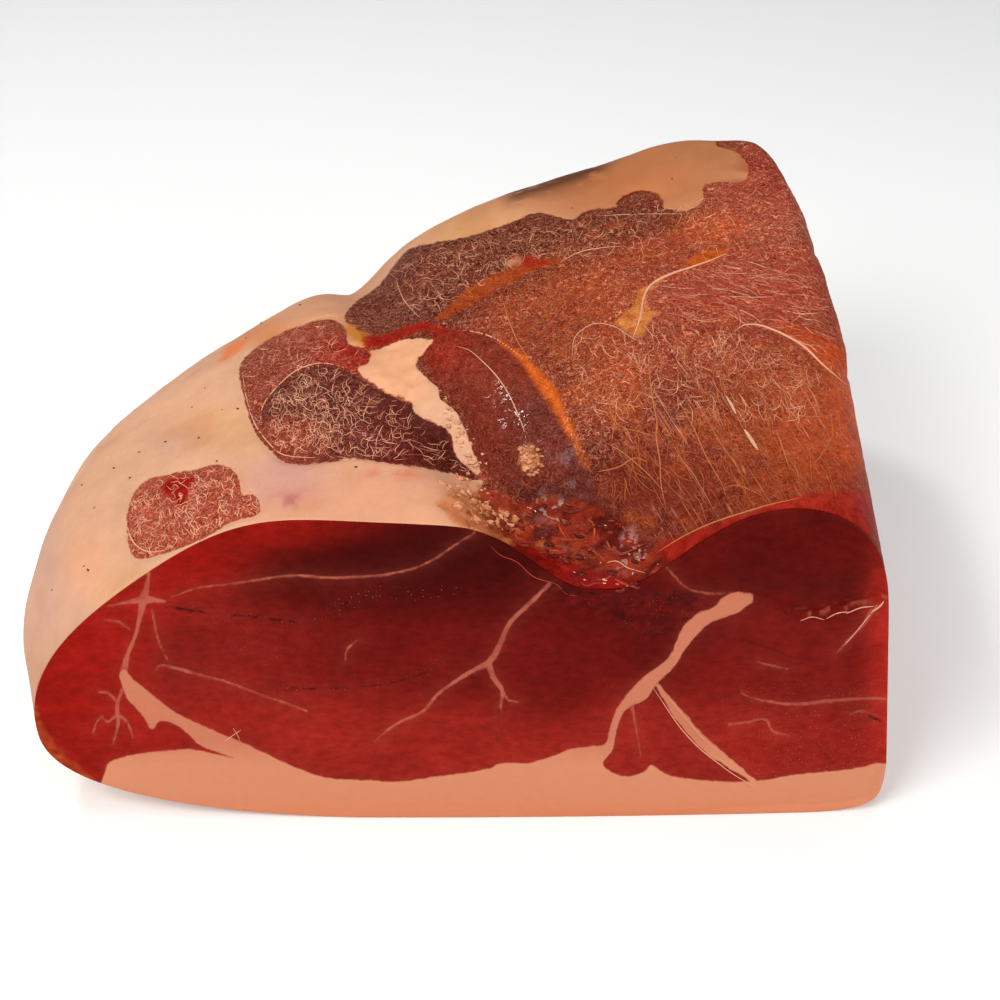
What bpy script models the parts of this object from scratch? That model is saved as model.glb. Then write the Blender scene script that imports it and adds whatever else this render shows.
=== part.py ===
"""Rump end of a boned cured ham, lying on its fat, with one flat cut across the front.

The ham is one solid. It is drawn as a loft of cross-sections from the front cut to the rounded rump.
Lengths are in millimetres and turned into metres when the mesh is made. X runs to the right along the
cut, Y runs back from the cut and Z runs up. The origin is at the middle of the base.
"""

from math import pi

import bmesh
import bpy
import numpy as np

MM = 0.001

# Driving dimensions
DEPTH = 206.0
FACE_LEFT = -117.0
FACE_RIGHT = 122.0
FACE_HEIGHT = 103.0
RUMP_HEIGHT = 125.0

# Lines that run from the cut to the rump, as (depth, value) knots
LEFT_EDGE = ((0, FACE_LEFT), (31, -124), (62, -121.5), (92, -111), (150, -61), (190, 26), (DEPTH, 80))
RIGHT_EDGE = ((0, FACE_RIGHT), (88, 124.5), (150, 122), (180, 114), (198, 101), (DEPTH, 88))
LEFT_HEIGHT = ((0, 35), (35, 48), (92, 58), (DEPTH, 58))
RIGHT_HEIGHT = 40.0
CROWN_X = ((0, -9), (88, 40), (DEPTH, 86))
CROWN_HEIGHT = ((0, FACE_HEIGHT), (88, 115), (150, 122), (183, RUMP_HEIGHT), (199, 117), (DEPTH, 98))
BASE_HEIGHT = ((0, 0), (154, 0), (182, 4), (198, 14), (DEPTH, 30))

# Fullness of the four quarters of a section: 2 is an ellipse, more is squarer
UPPER_LEFT = 1.9
UPPER_RIGHT = 7.0
LOWER_RIGHT = 12.0
LOWER_LEFT = 2.6

# The base settles flat by this much, the right side leans in towards its top, and the cut bows forwards.
# The lean and the relief fade: the lean where a section is narrow, the relief by its power of the height.
SETTLED = 0.4
LEAN = 9.0
LEAN_FROM, LEAN_TO = 18.0, 106.0
LEAN_WIDTH = 40.0
RELIEF_FADE = 1.2
BOW = 2.6
BOW_MIDDLE, BOW_HALF_WIDTH, BOW_REACH = -18.0, 132.0, 79.0

# The hollow that the thigh bone leaves, from the rump side to the cut, and the fold at its far end
HOLLOW = ((-19, 81), (-7, 55), (5, 30), (21, 11), (41, -5))
HOLLOW_DEPTH = (3.5, 23.0)
HOLLOW_FALL = 1.6
HOLLOW_RIGHT_WIDTH = (8.0, 14.0)
HOLLOW_LEFT_WIDTH = (9.0, 27.0)
FOLD = ((-44, 167), (-32, 139), (-26, 113), (-21, 88))
FOLD_DEPTH, FOLD_WIDTH = 15.0, 12.0
CREASE_DEPTH, CREASE_WIDTH = 1.8, 9.0

# Muscles that swell the top: centre, radii, height
MUSCLES = (
    ((-58, -4), (30, 40), 8.0),
    ((104, 4), (37, 53), 7.0),
    ((12, 145), (35, 33), 5.0),
    ((75, 66), (40, 53), 3.5),
)

# The muscle at the top right of the cut stands proud of it: centre, radii, height
PROUD = ((92, 88), (30, 14), 2.6)

# The rump's end is a low dome
DOME = 1.0

# Number of sections, of points round a section and of rings in each end
SECTIONS = 50
TOP_POINTS = 60
BASE_POINTS = 26
FACE_RINGS = 7
DOME_RINGS = 2
EVEN_SHARE = 0.25
CURVE_POINTS = 200

# The innermost ring of an end stays open by this share of the step between rings
LAST_GAP = 0.6

# A turn of one radian takes as many points as this length
TURN_WEIGHT = 60.0

LEAN_MEAT = (0.30, 0.045, 0.018, 1.0)


def profile(knots, depth):
    """Smooth curve through the knots that never overshoots them."""
    at, value = np.array(knots, float).T
    step = np.diff(at)
    slope = np.diff(value) / step
    grade = np.zeros(len(at))
    grade[0], grade[-1] = slope[0], slope[-1]
    before, after = slope[:-1], slope[1:]
    level = before * after <= 0
    grade[1:-1] = np.where(level, 0, 2 * before * after / np.where(level, 1, before + after))
    i = np.clip(np.searchsorted(at, depth) - 1, 0, len(step) - 1)
    t = (depth - at[i]) / step[i]
    rise = 3 * t**2 - 2 * t**3
    return (
        (1 - rise) * value[i]
        + rise * value[i + 1]
        + step[i] * ((t**3 - 2 * t**2 + t) * grade[i] + (t**3 - t**2) * grade[i + 1])
    )


def quarter(middle, tip, fullness, count=CURVE_POINTS):
    """Quarter of a superellipse, from beside its middle at tip's x to above or below it at tip's z."""
    turn = np.linspace(0, pi / 2, count)
    x = middle[0] + (tip[0] - middle[0]) * np.cos(turn) ** (2 / fullness)
    z = middle[1] + (tip[1] - middle[1]) * np.sin(turn) ** (2 / fullness)
    return np.stack([x, z], axis=-1)


def spaced(outline, count):
    """The outline with count points, spaced by length and set closer where the outline turns."""
    runs = np.diff(outline, axis=0)
    heading = np.unwrap(np.arctan2(runs[:, 1], runs[:, 0]))
    turned = np.concatenate([[0], np.abs(np.diff(heading))])
    steps = np.hypot(runs[:, 0], runs[:, 1]) + TURN_WEIGHT * turned
    travelled = np.concatenate([[0], np.cumsum(steps)])
    at = np.linspace(0, travelled[-1], count)
    return np.stack([np.interp(at, travelled, outline[:, k]) for k in (0, 1)], axis=-1)


def along(x, y, path):
    """Distance to a path, the share of its length at the nearest point, and 1 to the path's right or -1."""
    path = np.array(path, float)
    runs = np.diff(path, axis=0)
    lengths = np.linalg.norm(runs, axis=1)
    starts = np.concatenate([[0], np.cumsum(lengths)])
    nearest = np.full(x.shape, np.inf)
    share = np.zeros(x.shape)
    side = np.ones(x.shape)
    for (x0, y0), (dx, dy), length, start in zip(path, runs, lengths, starts):
        t = np.clip(((x - x0) * dx + (y - y0) * dy) / length**2, 0, 1)
        off_x, off_y = x - x0 - t * dx, y - y0 - t * dy
        distance = np.hypot(off_x, off_y)
        closer = distance < nearest
        nearest = np.where(closer, distance, nearest)
        share = np.where(closer, (start + t * length) / starts[-1], share)
        side = np.where(closer, np.where(off_x * dy > off_y * dx, 1, -1), side)
    return nearest, share, side


def swell(x, y, centre, radii, height):
    """A smooth round rise."""
    return height * np.exp(-(((x - centre[0]) / radii[0]) ** 2) - ((y - centre[1]) / radii[1]) ** 2)


def top_relief(x, y):
    """How far the top stands above the plain section: the bone's hollow, the fold and the muscles."""
    distance, share, side = along(x, y, HOLLOW)
    right_width = np.interp(share, (0, 1), HOLLOW_RIGHT_WIDTH)
    left_width = np.interp(share, (0, 1), HOLLOW_LEFT_WIDTH)
    width = np.where(side > 0, right_width, left_width)
    depth = np.interp(share**HOLLOW_FALL, (0, 1), HOLLOW_DEPTH)
    relief = -depth * np.exp(-((distance / width) ** 2))
    distance, share, _ = along(x, y, FOLD)
    relief -= FOLD_DEPTH * np.sqrt(1 - share) * np.exp(-((distance / FOLD_WIDTH) ** 2))
    relief -= CREASE_DEPTH * np.exp(-((distance / CREASE_WIDTH) ** 2))
    return relief + sum(swell(x, y, *muscle) for muscle in MUSCLES)


def section(depth):
    """Points round the cross-section at one depth, from the left edge over the top and back below."""
    left, left_height = profile(LEFT_EDGE, depth), profile(LEFT_HEIGHT, depth)
    right, base = profile(RIGHT_EDGE, depth), profile(BASE_HEIGHT, depth)
    crown_x, crown = profile(CROWN_X, depth), profile(CROWN_HEIGHT, depth)
    middle = (left + right) / 2
    over = spaced(
        np.concatenate(
            [
                quarter((crown_x, left_height), (left, crown), UPPER_LEFT),
                quarter((crown_x, RIGHT_HEIGHT), (right, crown), UPPER_RIGHT)[-2::-1],
            ]
        ),
        TOP_POINTS,
    )
    under = spaced(
        np.concatenate(
            [
                quarter((middle, RIGHT_HEIGHT), (right, base), LOWER_RIGHT),
                quarter((middle, left_height), (left, base), LOWER_LEFT)[-2::-1],
            ]
        ),
        BASE_POINTS + 2,
    )[1:-1]
    under[:, 1] = np.maximum(under[:, 1] - SETTLED, 0)
    facing_up = np.clip((over[:, 1] - left_height) / (crown - left_height), 0, 1) ** RELIEF_FADE
    over[:, 1] += facing_up * top_relief(over[:, 0], np.full(TOP_POINTS, depth))
    x, z = np.concatenate([over, under]).T
    towards_right = np.clip((x - crown_x) / (right - crown_x), 0, 1) ** 2
    lean = LEAN * min(1, (right - left) / LEAN_WIDTH)
    x = x - lean * towards_right * np.clip((z - LEAN_FROM) / (LEAN_TO - LEAN_FROM), 0, 1)
    bow = BOW * (1 - ((x - BOW_MIDDLE) / BOW_HALF_WIDTH) ** 2) * max(0, 1 - depth / BOW_REACH) ** 2
    return np.stack([x, depth - bow, z], axis=-1)


def closing(outline, rings, dome):
    """Rings that fill an end: each is the end's outline, drawn in towards the line along its middle."""
    x, _, z = outline.T
    middle_z = (z.min() + z.max()) / 2
    reach = min(x.max() - x.min(), z.max() - z.min()) / 2
    spine_x = np.clip(x, x.min() + reach, x.max() - reach)
    spine_z = np.clip(z, min(z.min() + reach, middle_z), max(z.max() - reach, middle_z))
    spine = np.stack([spine_x, np.full(len(x), outline[:, 1].mean()), spine_z], axis=-1)
    made = []
    for k in range(1, rings + 1):
        share = 1 - k / (rings + LAST_GAP)
        ring = spine + (outline - spine) * share
        ring[:, 1] += dome * (1 - share**2)
        made.append(ring)
    return made


def stand_proud(ring):
    """Brings the muscle at the top right of the cut forwards."""
    ring[:, 1] -= swell(ring[:, 0], ring[:, 2], *PROUD)
    return ring


def ham_rings():
    """All rings of the ham, from the middle of the cut over its rim to the middle of the rump's end."""
    turn = np.linspace(0, pi / 2, SECTIONS)
    depths = DEPTH * (EVEN_SHARE * turn / (pi / 2) + (1 - EVEN_SHARE) * np.sin(turn))
    body = [section(min(depth, DEPTH)) for depth in depths]
    body[0] = stand_proud(body[0])
    front = [stand_proud(ring) for ring in closing(section(0.0), FACE_RINGS, 0.0)]
    back = closing(body[-1], DOME_RINGS, DOME)
    return np.array(front[::-1] + body + back)


def centred(rings):
    """The rings in metres, with the middle of their box at the origin and their base at height 0."""
    low, high = rings.min(axis=(0, 1)), rings.max(axis=(0, 1))
    return (rings - [(low[0] + high[0]) / 2, (low[1] + high[1]) / 2, low[2]]) * MM


def ham_mesh():
    """The ham's closed mesh: quads between neighbouring rings, and a face inside the first and last."""
    bm = bmesh.new()
    rings = [[bm.verts.new(point) for point in ring] for ring in centred(ham_rings())]
    count = len(rings[0])
    for near, far in zip(rings, rings[1:]):
        for j in range(count):
            k = (j + 1) % count
            bm.faces.new((near[j], near[k], far[k], far[j]))
    bm.faces.new(rings[0])
    bm.faces.new(rings[-1])
    bmesh.ops.triangulate(bm, faces=bm.faces[:], ngon_method="BEAUTY")
    bmesh.ops.recalc_face_normals(bm, faces=bm.faces[:])
    mesh = bpy.data.meshes.new("ham")
    bm.to_mesh(mesh)
    bm.free()
    mesh.shade_smooth()
    mesh.set_sharp_from_angle(angle=pi / 4)
    return mesh


def meat_material():
    """Dark red cured meat with a slight sheen."""
    material = bpy.data.materials.new("cured_meat")
    material.use_nodes = True
    shader = material.node_tree.nodes["Principled BSDF"]
    shader.inputs["Base Color"].default_value = LEAN_MEAT
    shader.inputs["Roughness"].default_value = 0.42
    shader.inputs["Metallic"].default_value = 0.0
    return material


for leftover in list(bpy.data.objects):
    bpy.data.objects.remove(leftover)

ham = bpy.data.objects.new("ham", ham_mesh())
ham.data.materials.append(meat_material())
bpy.context.scene.collection.objects.link(ham)
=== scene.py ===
"""Rump half of a boned, dry-cured ham, lying on its fat with one flat cut across the front.

The file is laid out as a Blender add-on and is run as a script. The ham's form is drawn in millimetres
from the same lines as its solid: X to the right along the cut, depth back from the cut and Z up. Muscles,
seams and fat are placed by the pixels at which the camera sees them in a picture 1000 pixels square.
"""

from math import cos, pi, radians, sin

import bpy
import numpy as np
from mathutils import Matrix, Vector


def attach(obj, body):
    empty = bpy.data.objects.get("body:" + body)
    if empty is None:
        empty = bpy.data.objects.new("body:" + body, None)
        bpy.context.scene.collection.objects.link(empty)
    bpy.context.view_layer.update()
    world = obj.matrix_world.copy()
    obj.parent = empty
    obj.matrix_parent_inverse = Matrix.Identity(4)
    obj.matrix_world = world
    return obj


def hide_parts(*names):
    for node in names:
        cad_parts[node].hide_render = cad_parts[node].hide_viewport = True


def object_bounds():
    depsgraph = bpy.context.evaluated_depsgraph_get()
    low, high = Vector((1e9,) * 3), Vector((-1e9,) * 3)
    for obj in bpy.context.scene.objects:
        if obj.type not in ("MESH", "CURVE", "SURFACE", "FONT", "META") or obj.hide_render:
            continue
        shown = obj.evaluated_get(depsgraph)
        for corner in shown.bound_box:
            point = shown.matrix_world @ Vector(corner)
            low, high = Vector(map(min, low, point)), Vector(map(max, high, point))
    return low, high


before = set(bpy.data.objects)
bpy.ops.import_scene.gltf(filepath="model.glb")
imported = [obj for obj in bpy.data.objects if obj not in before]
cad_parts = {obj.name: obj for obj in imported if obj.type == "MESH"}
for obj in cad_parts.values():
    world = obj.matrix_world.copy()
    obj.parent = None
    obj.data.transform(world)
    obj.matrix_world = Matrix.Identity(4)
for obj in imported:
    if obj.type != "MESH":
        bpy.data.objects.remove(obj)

bl_info = {
    "name": "Cured Ham",
    "version": (1, 0, 0),
    "blender": (4, 5, 0),
    "location": "3D View > Sidebar > Ham",
    "description": "Builds the cut and the dried outside of a boned cured ham around its solid",
    "category": "Add Mesh",
}

MM = 0.001
NODE = "ham"
SHAPED = {}
CAD_BOX = [list(corner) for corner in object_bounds()]

# The solid's own lines, as (depth, value) knots in millimetres
DEPTH = 206.0
LEFT_EDGE = ((0, -117), (31, -124), (62, -121.5), (92, -111), (150, -61), (190, 26), (DEPTH, 80))
RIGHT_EDGE = ((0, 122), (88, 124.5), (150, 122), (180, 114), (198, 101), (DEPTH, 88))
LEFT_HEIGHT = ((0, 35), (35, 48), (92, 58), (DEPTH, 58))
RIGHT_HEIGHT = 40.0
CROWN_X = ((0, -9), (88, 40), (DEPTH, 86))
CROWN_HEIGHT = ((0, 103), (88, 115), (150, 122), (183, 125), (199, 117), (DEPTH, 98))
BASE_HEIGHT = ((0, 0), (154, 0), (182, 4), (198, 14), (DEPTH, 30))
UPPER_LEFT, UPPER_RIGHT, LOWER_RIGHT, LOWER_LEFT = 1.9, 7.0, 12.0, 2.6
SETTLED = 0.4
LEAN, LEAN_FROM, LEAN_TO, LEAN_WIDTH = 9.0, 18.0, 106.0, 40.0
BOW, BOW_MIDDLE, BOW_HALF_WIDTH, BOW_REACH = 2.6, -18.0, 132.0, 79.0
HOLLOW = ((-19, 81), (-7, 55), (5, 30), (21, 11), (41, -5))
HOLLOW_DEPTH = (3.5, 23.0)
HOLLOW_RIGHT_WIDTH = (8.0, 14.0)
HOLLOW_LEFT_WIDTH = (9.0, 27.0)
FOLD = ((-44, 167), (-32, 139), (-26, 113), (-21, 88))
FOLD_DEPTH, FOLD_WIDTH = 15.0, 12.0
CREASE_DEPTH, CREASE_WIDTH = 1.8, 9.0
MUSCLES = (
    ((-58, -4), (30, 40), 8.0),
    ((104, 4), (37, 53), 7.0),
    ((12, 145), (35, 33), 5.0),
    ((75, 66), (40, 53), 3.5),
)
PROUD = ((92, 88), (30, 14), 2.6)

# Middle of the drawn box, which is the frame's origin
DRAWN_MIDDLE = (0.1, 101.8)

# The camera: what it looks at in the drawing, how far away, and how steeply it looks down
PICTURE = 1000
SENSOR_MM, LENS_MM = 36.0, 70.0
TARGET = (12.3, 52.8, 72.9)
CAMERA_DISTANCE = 563.2
CAMERA_PITCH = radians(35)
MM_PER_PIXEL = CAMERA_DISTANCE * SENSOR_MM / LENS_MM / PICTURE
FORWARD = np.array([0, cos(CAMERA_PITCH), -sin(CAMERA_PITCH)])
UPWARD = np.array([0, sin(CAMERA_PITCH), cos(CAMERA_PITCH)])
CAMERA_AT = np.array(TARGET) - CAMERA_DISTANCE * FORWARD
PIXELS_PER_TANGENT = LENS_MM / SENSOR_MM * PICTURE

# How finely the pieces are meshed
OVER_COLUMNS, UNDER_COLUMNS, ROWS, EVEN_SHARE = 322, 66, 246, 0.6
CUT_COLUMNS, CUT_ROWS = 430, 186
TURN_WEIGHT = 12.0
OUTLINE_OVER, OUTLINE_UNDER = 2400, 1600
CUT_CORNER_X, CUT_INSET = -106, 0.35
BEHIND_CUT = 0.9
FAR_PIXELS = 30.0
# Rings that close the pieces: how far in or out and how far back, or their share of the rump's end
FRONT_RINGS = ((1.6, 0.9), (0.3, -0.45))
END_RINGS = (0.8, 0.5, 0.2)
LIP_RINGS = ((0.25, 0.12), (0.35, 0.40), (0.33, 0.95), (-0.7, 2.2))
# Strands and lumps: profile across and up, how near its pixel a point has to land, and the longest step
STRAND_PROFILE = ((-0.5, -0.25), (-0.3, 0.75), (0.3, 0.75), (0.5, -0.25))
NEAR_PIXELS, LONGEST_STEP, LONG_PIXELS = 2.5, 7.0, 30
SINEW_POINTS, SINEW_WIDTH, SINEW_RISE = 28, 0.75, 0.4
LUMP_ROWS, LUMP_COLUMNS, SPECK_RADII = 7, 10, (0.22, 0.42)
LUMP_COURSE = (0.95, -0.2, -0.1)
FIBRE_SEED, SCRAP_SEED, LUMP_SEED, SPECK_SEED = 71, 72, 73, 74
LATTICE, LATTICE_START = 32, 100.5
SHORTEST = (0, 0, 0.1, 0.1, 2)
TINY = 1e-9

# The stage in metres: each light's name, place and size, and the point that they are turned to
LIGHTS = (
    ("key", (-0.55, -0.75, 0.95), 0.6),
    ("fill", (0.9, -0.6, 0.5), 0.7),
    ("top", (0.1, -0.15, 1.3), 0.7),
    ("glint", (-0.42, 0.22, 1.02), 0.13),
)
LIT_POINT = (0, 0, 0.06)
SKY_COLOUR = (0.96, 0.98, 1.0, 1.0)
FLOOR_HALF, FLOOR_HEIGHT, NEAREST = 8.0, -0.0002, 0.01
# The shaders' weak plain reflection, and the near black red painted into the cut's cracks as their shade
SPECULAR, CRACK_SHADE_TONE = 0.02, (0.18, 0.04, 0.03)


def shade(red, green, blue):
    """A display colour given as 0 to 255."""
    return (red / 255, green / 255, blue / 255)


def linear(colour):
    """A display colour as the linear one that shaders use."""
    colour = np.asarray(colour, float)
    return np.where(colour > 0.04045, ((colour + 0.055) / 1.055) ** 2.4, colour / 12.92)


def colour_property(name, description, default):
    """A colour that the user picks."""
    return bpy.props.FloatVectorProperty(
        name=name, description=description, size=3, subtype="COLOR_GAMMA", min=0, max=1, default=default
    )


class HamCutColours(bpy.types.PropertyGroup):
    """Colours of the fresh cut."""

    bright: colour_property("Bright lean", "Translucent lean near the edge of the cut", shade(146, 19, 11))
    low: colour_property("Low lean", "Lean above the layer of fat", shade(146, 33, 24))
    lean: colour_property("Lean", "Lean over most of the cut", shade(100, 15, 11))
    dark: colour_property("Dark lean", "Dense lean in the middle of the cut", shade(52, 5, 4))
    fat: colour_property("Cut fat", "Layer of fat along the bottom of the cut", shade(202, 130, 97))
    seam: colour_property("Seam", "Fat and sinew between the muscles", shade(178, 94, 74))


class HamOutsideColours(bpy.types.PropertyGroup):
    """Colours of the dried outside."""

    cream: colour_property("Cream fat", "Fat on the flank", shade(203, 153, 121))
    peach: colour_property("Peach fat", "Fat near the cut and between the muscles", shade(214, 149, 113))
    golden: colour_property("Golden fat", "Fat round the rump", shade(176, 104, 60))
    rose: colour_property("Rose meat", "Dried muscle on the right", shade(146, 53, 34))
    brown: colour_property("Brown meat", "Dried muscle in the middle", shade(104, 30, 16))
    umber: colour_property("Umber meat", "Driest muscle, near the rump", shade(84, 31, 19))
    maroon: colour_property("Maroon meat", "Small dark muscles", shade(72, 16, 12))
    amber: colour_property("Amber", "Translucent seams and edges", shade(176, 68, 20))
    fibre: colour_property("Fibres", "Pale net of dried fibres", shade(236, 172, 138))


def amount_property(name, description, default, **settings):
    """An amount of 0 or more that the user sets."""
    return bpy.props.FloatProperty(name=name, description=description, default=default, min=0, **settings)


class HamStage(bpy.types.PropertyGroup):
    """The floor and the light around the ham."""

    floor: colour_property("Floor", "Pale floor", (0.93, 0.93, 0.925))
    key_watts: amount_property("Key light", "Power of the large soft light", 12.0, unit="POWER")
    fill_watts: amount_property("Fill light", "Power of the light from the right", 5.5, unit="POWER")
    top_watts: amount_property("Top light", "Power of the light from above", 3.9, unit="POWER")
    glint_watts: amount_property("Glint light", "Power of the small light overhead", 3.0, unit="POWER")
    floor_glow: amount_property("Floor glow", "Light that the floor gives off, to whiten it", 0.13, max=1)
    sky: amount_property("Sky", "Strength of the even light from all round", 0.2, max=5)


# The form


def profile(knots, depth):
    """Smooth curve through the knots that never overshoots them: cubics with harmonic mean slopes."""
    at, value = np.array(knots, float).T
    step = np.diff(at)
    slope = np.diff(value) / step
    grade = np.zeros(len(at))
    grade[0], grade[-1] = slope[0], slope[-1]
    before, after = slope[:-1], slope[1:]
    level = before * after <= 0
    grade[1:-1] = np.where(level, 0, 2 * before * after / np.where(level, 1, before + after))
    i = np.clip(np.searchsorted(at, depth) - 1, 0, len(step) - 1)
    t = (depth - at[i]) / step[i]
    rise = 3 * t**2 - 2 * t**3
    return (
        (1 - rise) * value[i]
        + rise * value[i + 1]
        + step[i] * ((t**3 - 2 * t**2 + t) * grade[i] + (t**3 - t**2) * grade[i + 1])
    )


def quarter(middle, tip, fullness, count=260):
    """Quarter superellipses, one a row: cos and sin of the turn, each to the power two over fullness."""
    turn = np.linspace(0, pi / 2, count)[None, :]
    x = middle[0] + (tip[0] - middle[0]) * np.cos(turn) ** (2 / fullness)
    z = middle[1] + (tip[1] - middle[1]) * np.sin(turn) ** (2 / fullness)
    return np.stack([x, z], axis=-1)


def unit(vectors):
    """Vectors brought to length 1."""
    return vectors / np.maximum(np.linalg.norm(vectors, axis=-1, keepdims=True), TINY)


def travelled_along(curve):
    """The length travelled at each point of a curve."""
    return np.concatenate([[0], np.cumsum(np.linalg.norm(np.diff(curve, axis=0), axis=1))])


def taken_at(at, travelled, curve):
    """Points of a flat curve at the lengths asked for, straight between its own points."""
    return np.stack([np.interp(at, travelled, curve[:, k]) for k in (0, 1)], axis=-1)


def respaced(curve, count):
    """A flat curve with count points, evenly spaced."""
    travelled = travelled_along(curve)
    return taken_at(np.linspace(0, travelled[-1], count), travelled, curve)


def evened(curves, count):
    """Each row's curve with count points, spaced by length and closer where it turns."""
    rows = []
    for curve in curves:
        runs = np.diff(curve, axis=0)
        heading = np.unwrap(np.arctan2(runs[:, 1], runs[:, 0]))
        turned = np.concatenate([[0], np.abs(np.diff(heading))])
        steps = np.hypot(runs[:, 0], runs[:, 1]) + TURN_WEIGHT * turned
        travelled = np.concatenate([[0], np.cumsum(steps)])
        rows.append(taken_at(np.linspace(0, travelled[-1], count), travelled, curve))
    return np.array(rows)


def along(x, y, path, reach=1e9):
    """Distance to a path, the share of its length at the nearest point, and 1 to its right or -1.

    Points further than reach from the path's box keep the distance reach and aren't worked out.
    """
    path = np.array(path, float)
    runs = np.diff(path, axis=0)
    lengths = np.maximum(np.linalg.norm(runs, axis=1), 1e-9)
    starts = np.concatenate([[0], np.cumsum(lengths)])
    nearest = np.full(x.shape, float(reach))
    share = np.zeros(x.shape)
    side = np.ones(x.shape)
    low, high = path.min(axis=0) - reach, path.max(axis=0) + reach
    near = (x > low[0]) & (x < high[0]) & (y > low[1]) & (y < high[1])
    px, py = x[near], y[near]
    best, best_share, best_side = nearest[near], share[near], side[near]
    for (x0, y0), (dx, dy), length, start in zip(path, runs, lengths, starts):
        t = np.clip(((px - x0) * dx + (py - y0) * dy) / length**2, 0, 1)
        off_x, off_y = px - x0 - t * dx, py - y0 - t * dy
        distance = np.hypot(off_x, off_y)
        closer = distance < best
        best = np.where(closer, distance, best)
        best_share = np.where(closer, (start + t * length) / starts[-1], best_share)
        best_side = np.where(closer, np.where(off_x * dy > off_y * dx, 1, -1), best_side)
    nearest[near], share[near], side[near] = best, best_share, best_side
    return nearest, share, side


def swell(x, y, centre, radii, height=1.0):
    """A smooth round rise: height times the exponential of minus the squared distance in radii."""
    return height * np.exp(-(((x - centre[0]) / radii[0]) ** 2) - ((y - centre[1]) / radii[1]) ** 2)


def top_relief(x, y):
    """The solid's large relief: the bone's hollow, the fold and the muscles."""
    distance, share, side = along(x, y, HOLLOW)
    right_width = np.interp(share, (0, 1), HOLLOW_RIGHT_WIDTH)
    left_width = np.interp(share, (0, 1), HOLLOW_LEFT_WIDTH)
    width = np.where(side > 0, right_width, left_width)
    relief = -np.interp(share**1.6, (0, 1), HOLLOW_DEPTH) * np.exp(-((distance / width) ** 2))
    distance, share, _ = along(x, y, FOLD)
    relief -= FOLD_DEPTH * np.sqrt(1 - share) * np.exp(-((distance / FOLD_WIDTH) ** 2))
    relief -= CREASE_DEPTH * np.exp(-((distance / CREASE_WIDTH) ** 2))
    return relief + sum(swell(x, y, *muscle) for muscle in MUSCLES)


def sections(depths, over_count, under_count):
    """The solid's cross-sections at the depths: rows of points from the left edge over the top and back."""
    depth = np.asarray(depths, float)[:, None]
    left, left_height = profile(LEFT_EDGE, depth), profile(LEFT_HEIGHT, depth)
    right, base = profile(RIGHT_EDGE, depth), profile(BASE_HEIGHT, depth)
    crown_x, crown = profile(CROWN_X, depth), profile(CROWN_HEIGHT, depth)
    middle = (left + right) / 2
    over_left = quarter((crown_x, left_height), (left, crown), UPPER_LEFT)
    over_right = quarter((crown_x, RIGHT_HEIGHT), (right, crown), UPPER_RIGHT)
    under_right = quarter((middle, RIGHT_HEIGHT), (right, base), LOWER_RIGHT)
    under_left = quarter((middle, left_height), (left, base), LOWER_LEFT)
    over = evened(np.concatenate([over_left, over_right[:, -2::-1]], axis=1), over_count)
    under = evened(np.concatenate([under_right, under_left[:, -2::-1]], axis=1), under_count + 2)[:, 1:-1]
    under[..., 1] = np.maximum(under[..., 1] - SETTLED, 0)
    facing_up = np.clip((over[..., 1] - left_height) / (crown - left_height), 0, 1) ** 1.2
    over[..., 1] += facing_up * top_relief(over[..., 0], np.broadcast_to(depth, facing_up.shape))
    x, z = np.moveaxis(np.concatenate([over, under], axis=1), -1, 0)
    towards_right = np.clip((x - crown_x) / (right - crown_x), 0, 1) ** 2
    lean = LEAN * np.minimum(1, (right - left) / LEAN_WIDTH)
    x = x - lean * towards_right * np.clip((z - LEAN_FROM) / (LEAN_TO - LEAN_FROM), 0, 1)
    return np.stack([x, depth - bow(x, depth), z], axis=-1)


def bow(x, depth):
    """How far the cut bows forwards: a parabola across it that fades with depth."""
    return BOW * (1 - ((x - BOW_MIDDLE) / BOW_HALF_WIDTH) ** 2) * np.clip(1 - depth / BOW_REACH, 0, 1) ** 2


# The picture


def seen(points):
    """The pixels, right and down, at which the camera sees drawn points."""
    away = points - CAMERA_AT
    depth = away @ FORWARD
    right = PICTURE / 2 + PIXELS_PER_TANGENT * away[..., 0] / depth
    down = PICTURE / 2 - PIXELS_PER_TANGENT * (away @ UPWARD) / depth
    return right, down


def placed(points):
    """Drawn points in the frame's metres."""
    return (points - [DRAWN_MIDDLE[0], DRAWN_MIDDLE[1], 0]) * MM


def smooth(path, closed=False, steps=5):
    """Catmull-Rom curve through the points of a path or an outline."""
    points = np.array(path, float)
    if closed:
        points = np.concatenate([points[-1:], points, points[:2]])
    else:
        points = np.concatenate([2 * points[:1] - points[1:2], points, 2 * points[-1:] - points[-2:-1]])
    before, start, end, after = (points[k : len(points) - 3 + k, None] for k in range(4))
    t = (np.arange(steps) / steps)[None, :, None]
    curve = 0.5 * (
        2 * start
        + (end - before) * t
        + (2 * before - 5 * start + 4 * end - after) * t**2
        + (3 * start - before - 3 * end + after) * t**3
    )
    curve = curve.reshape(-1, points.shape[-1])
    return curve if closed else np.concatenate([curve, points[-2:-1]])


def inside(x, y, outline, reach=60.0):
    """Distance to a closed outline, less than 0 inside it."""
    curve = smooth(outline, closed=True)
    loop = np.concatenate([curve, curve[:1]])
    distance = along(x, y, loop, reach)[0]
    within = np.zeros(x.shape, bool)
    low, high = loop.min(axis=0), loop.max(axis=0)
    near = (x > low[0]) & (x < high[0]) & (y > low[1]) & (y < high[1])
    px, py = x[near], y[near]
    crossed = np.zeros(px.shape, bool)
    for (x0, y0), (x1, y1) in zip(loop[:-1], loop[1:]):
        if y0 != y1:
            crossed ^= ((y0 > py) != (y1 > py)) & (px < x0 + (py - y0) * (x1 - x0) / (y1 - y0))
    within[near] = crossed
    return np.where(within, -distance, distance)


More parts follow.
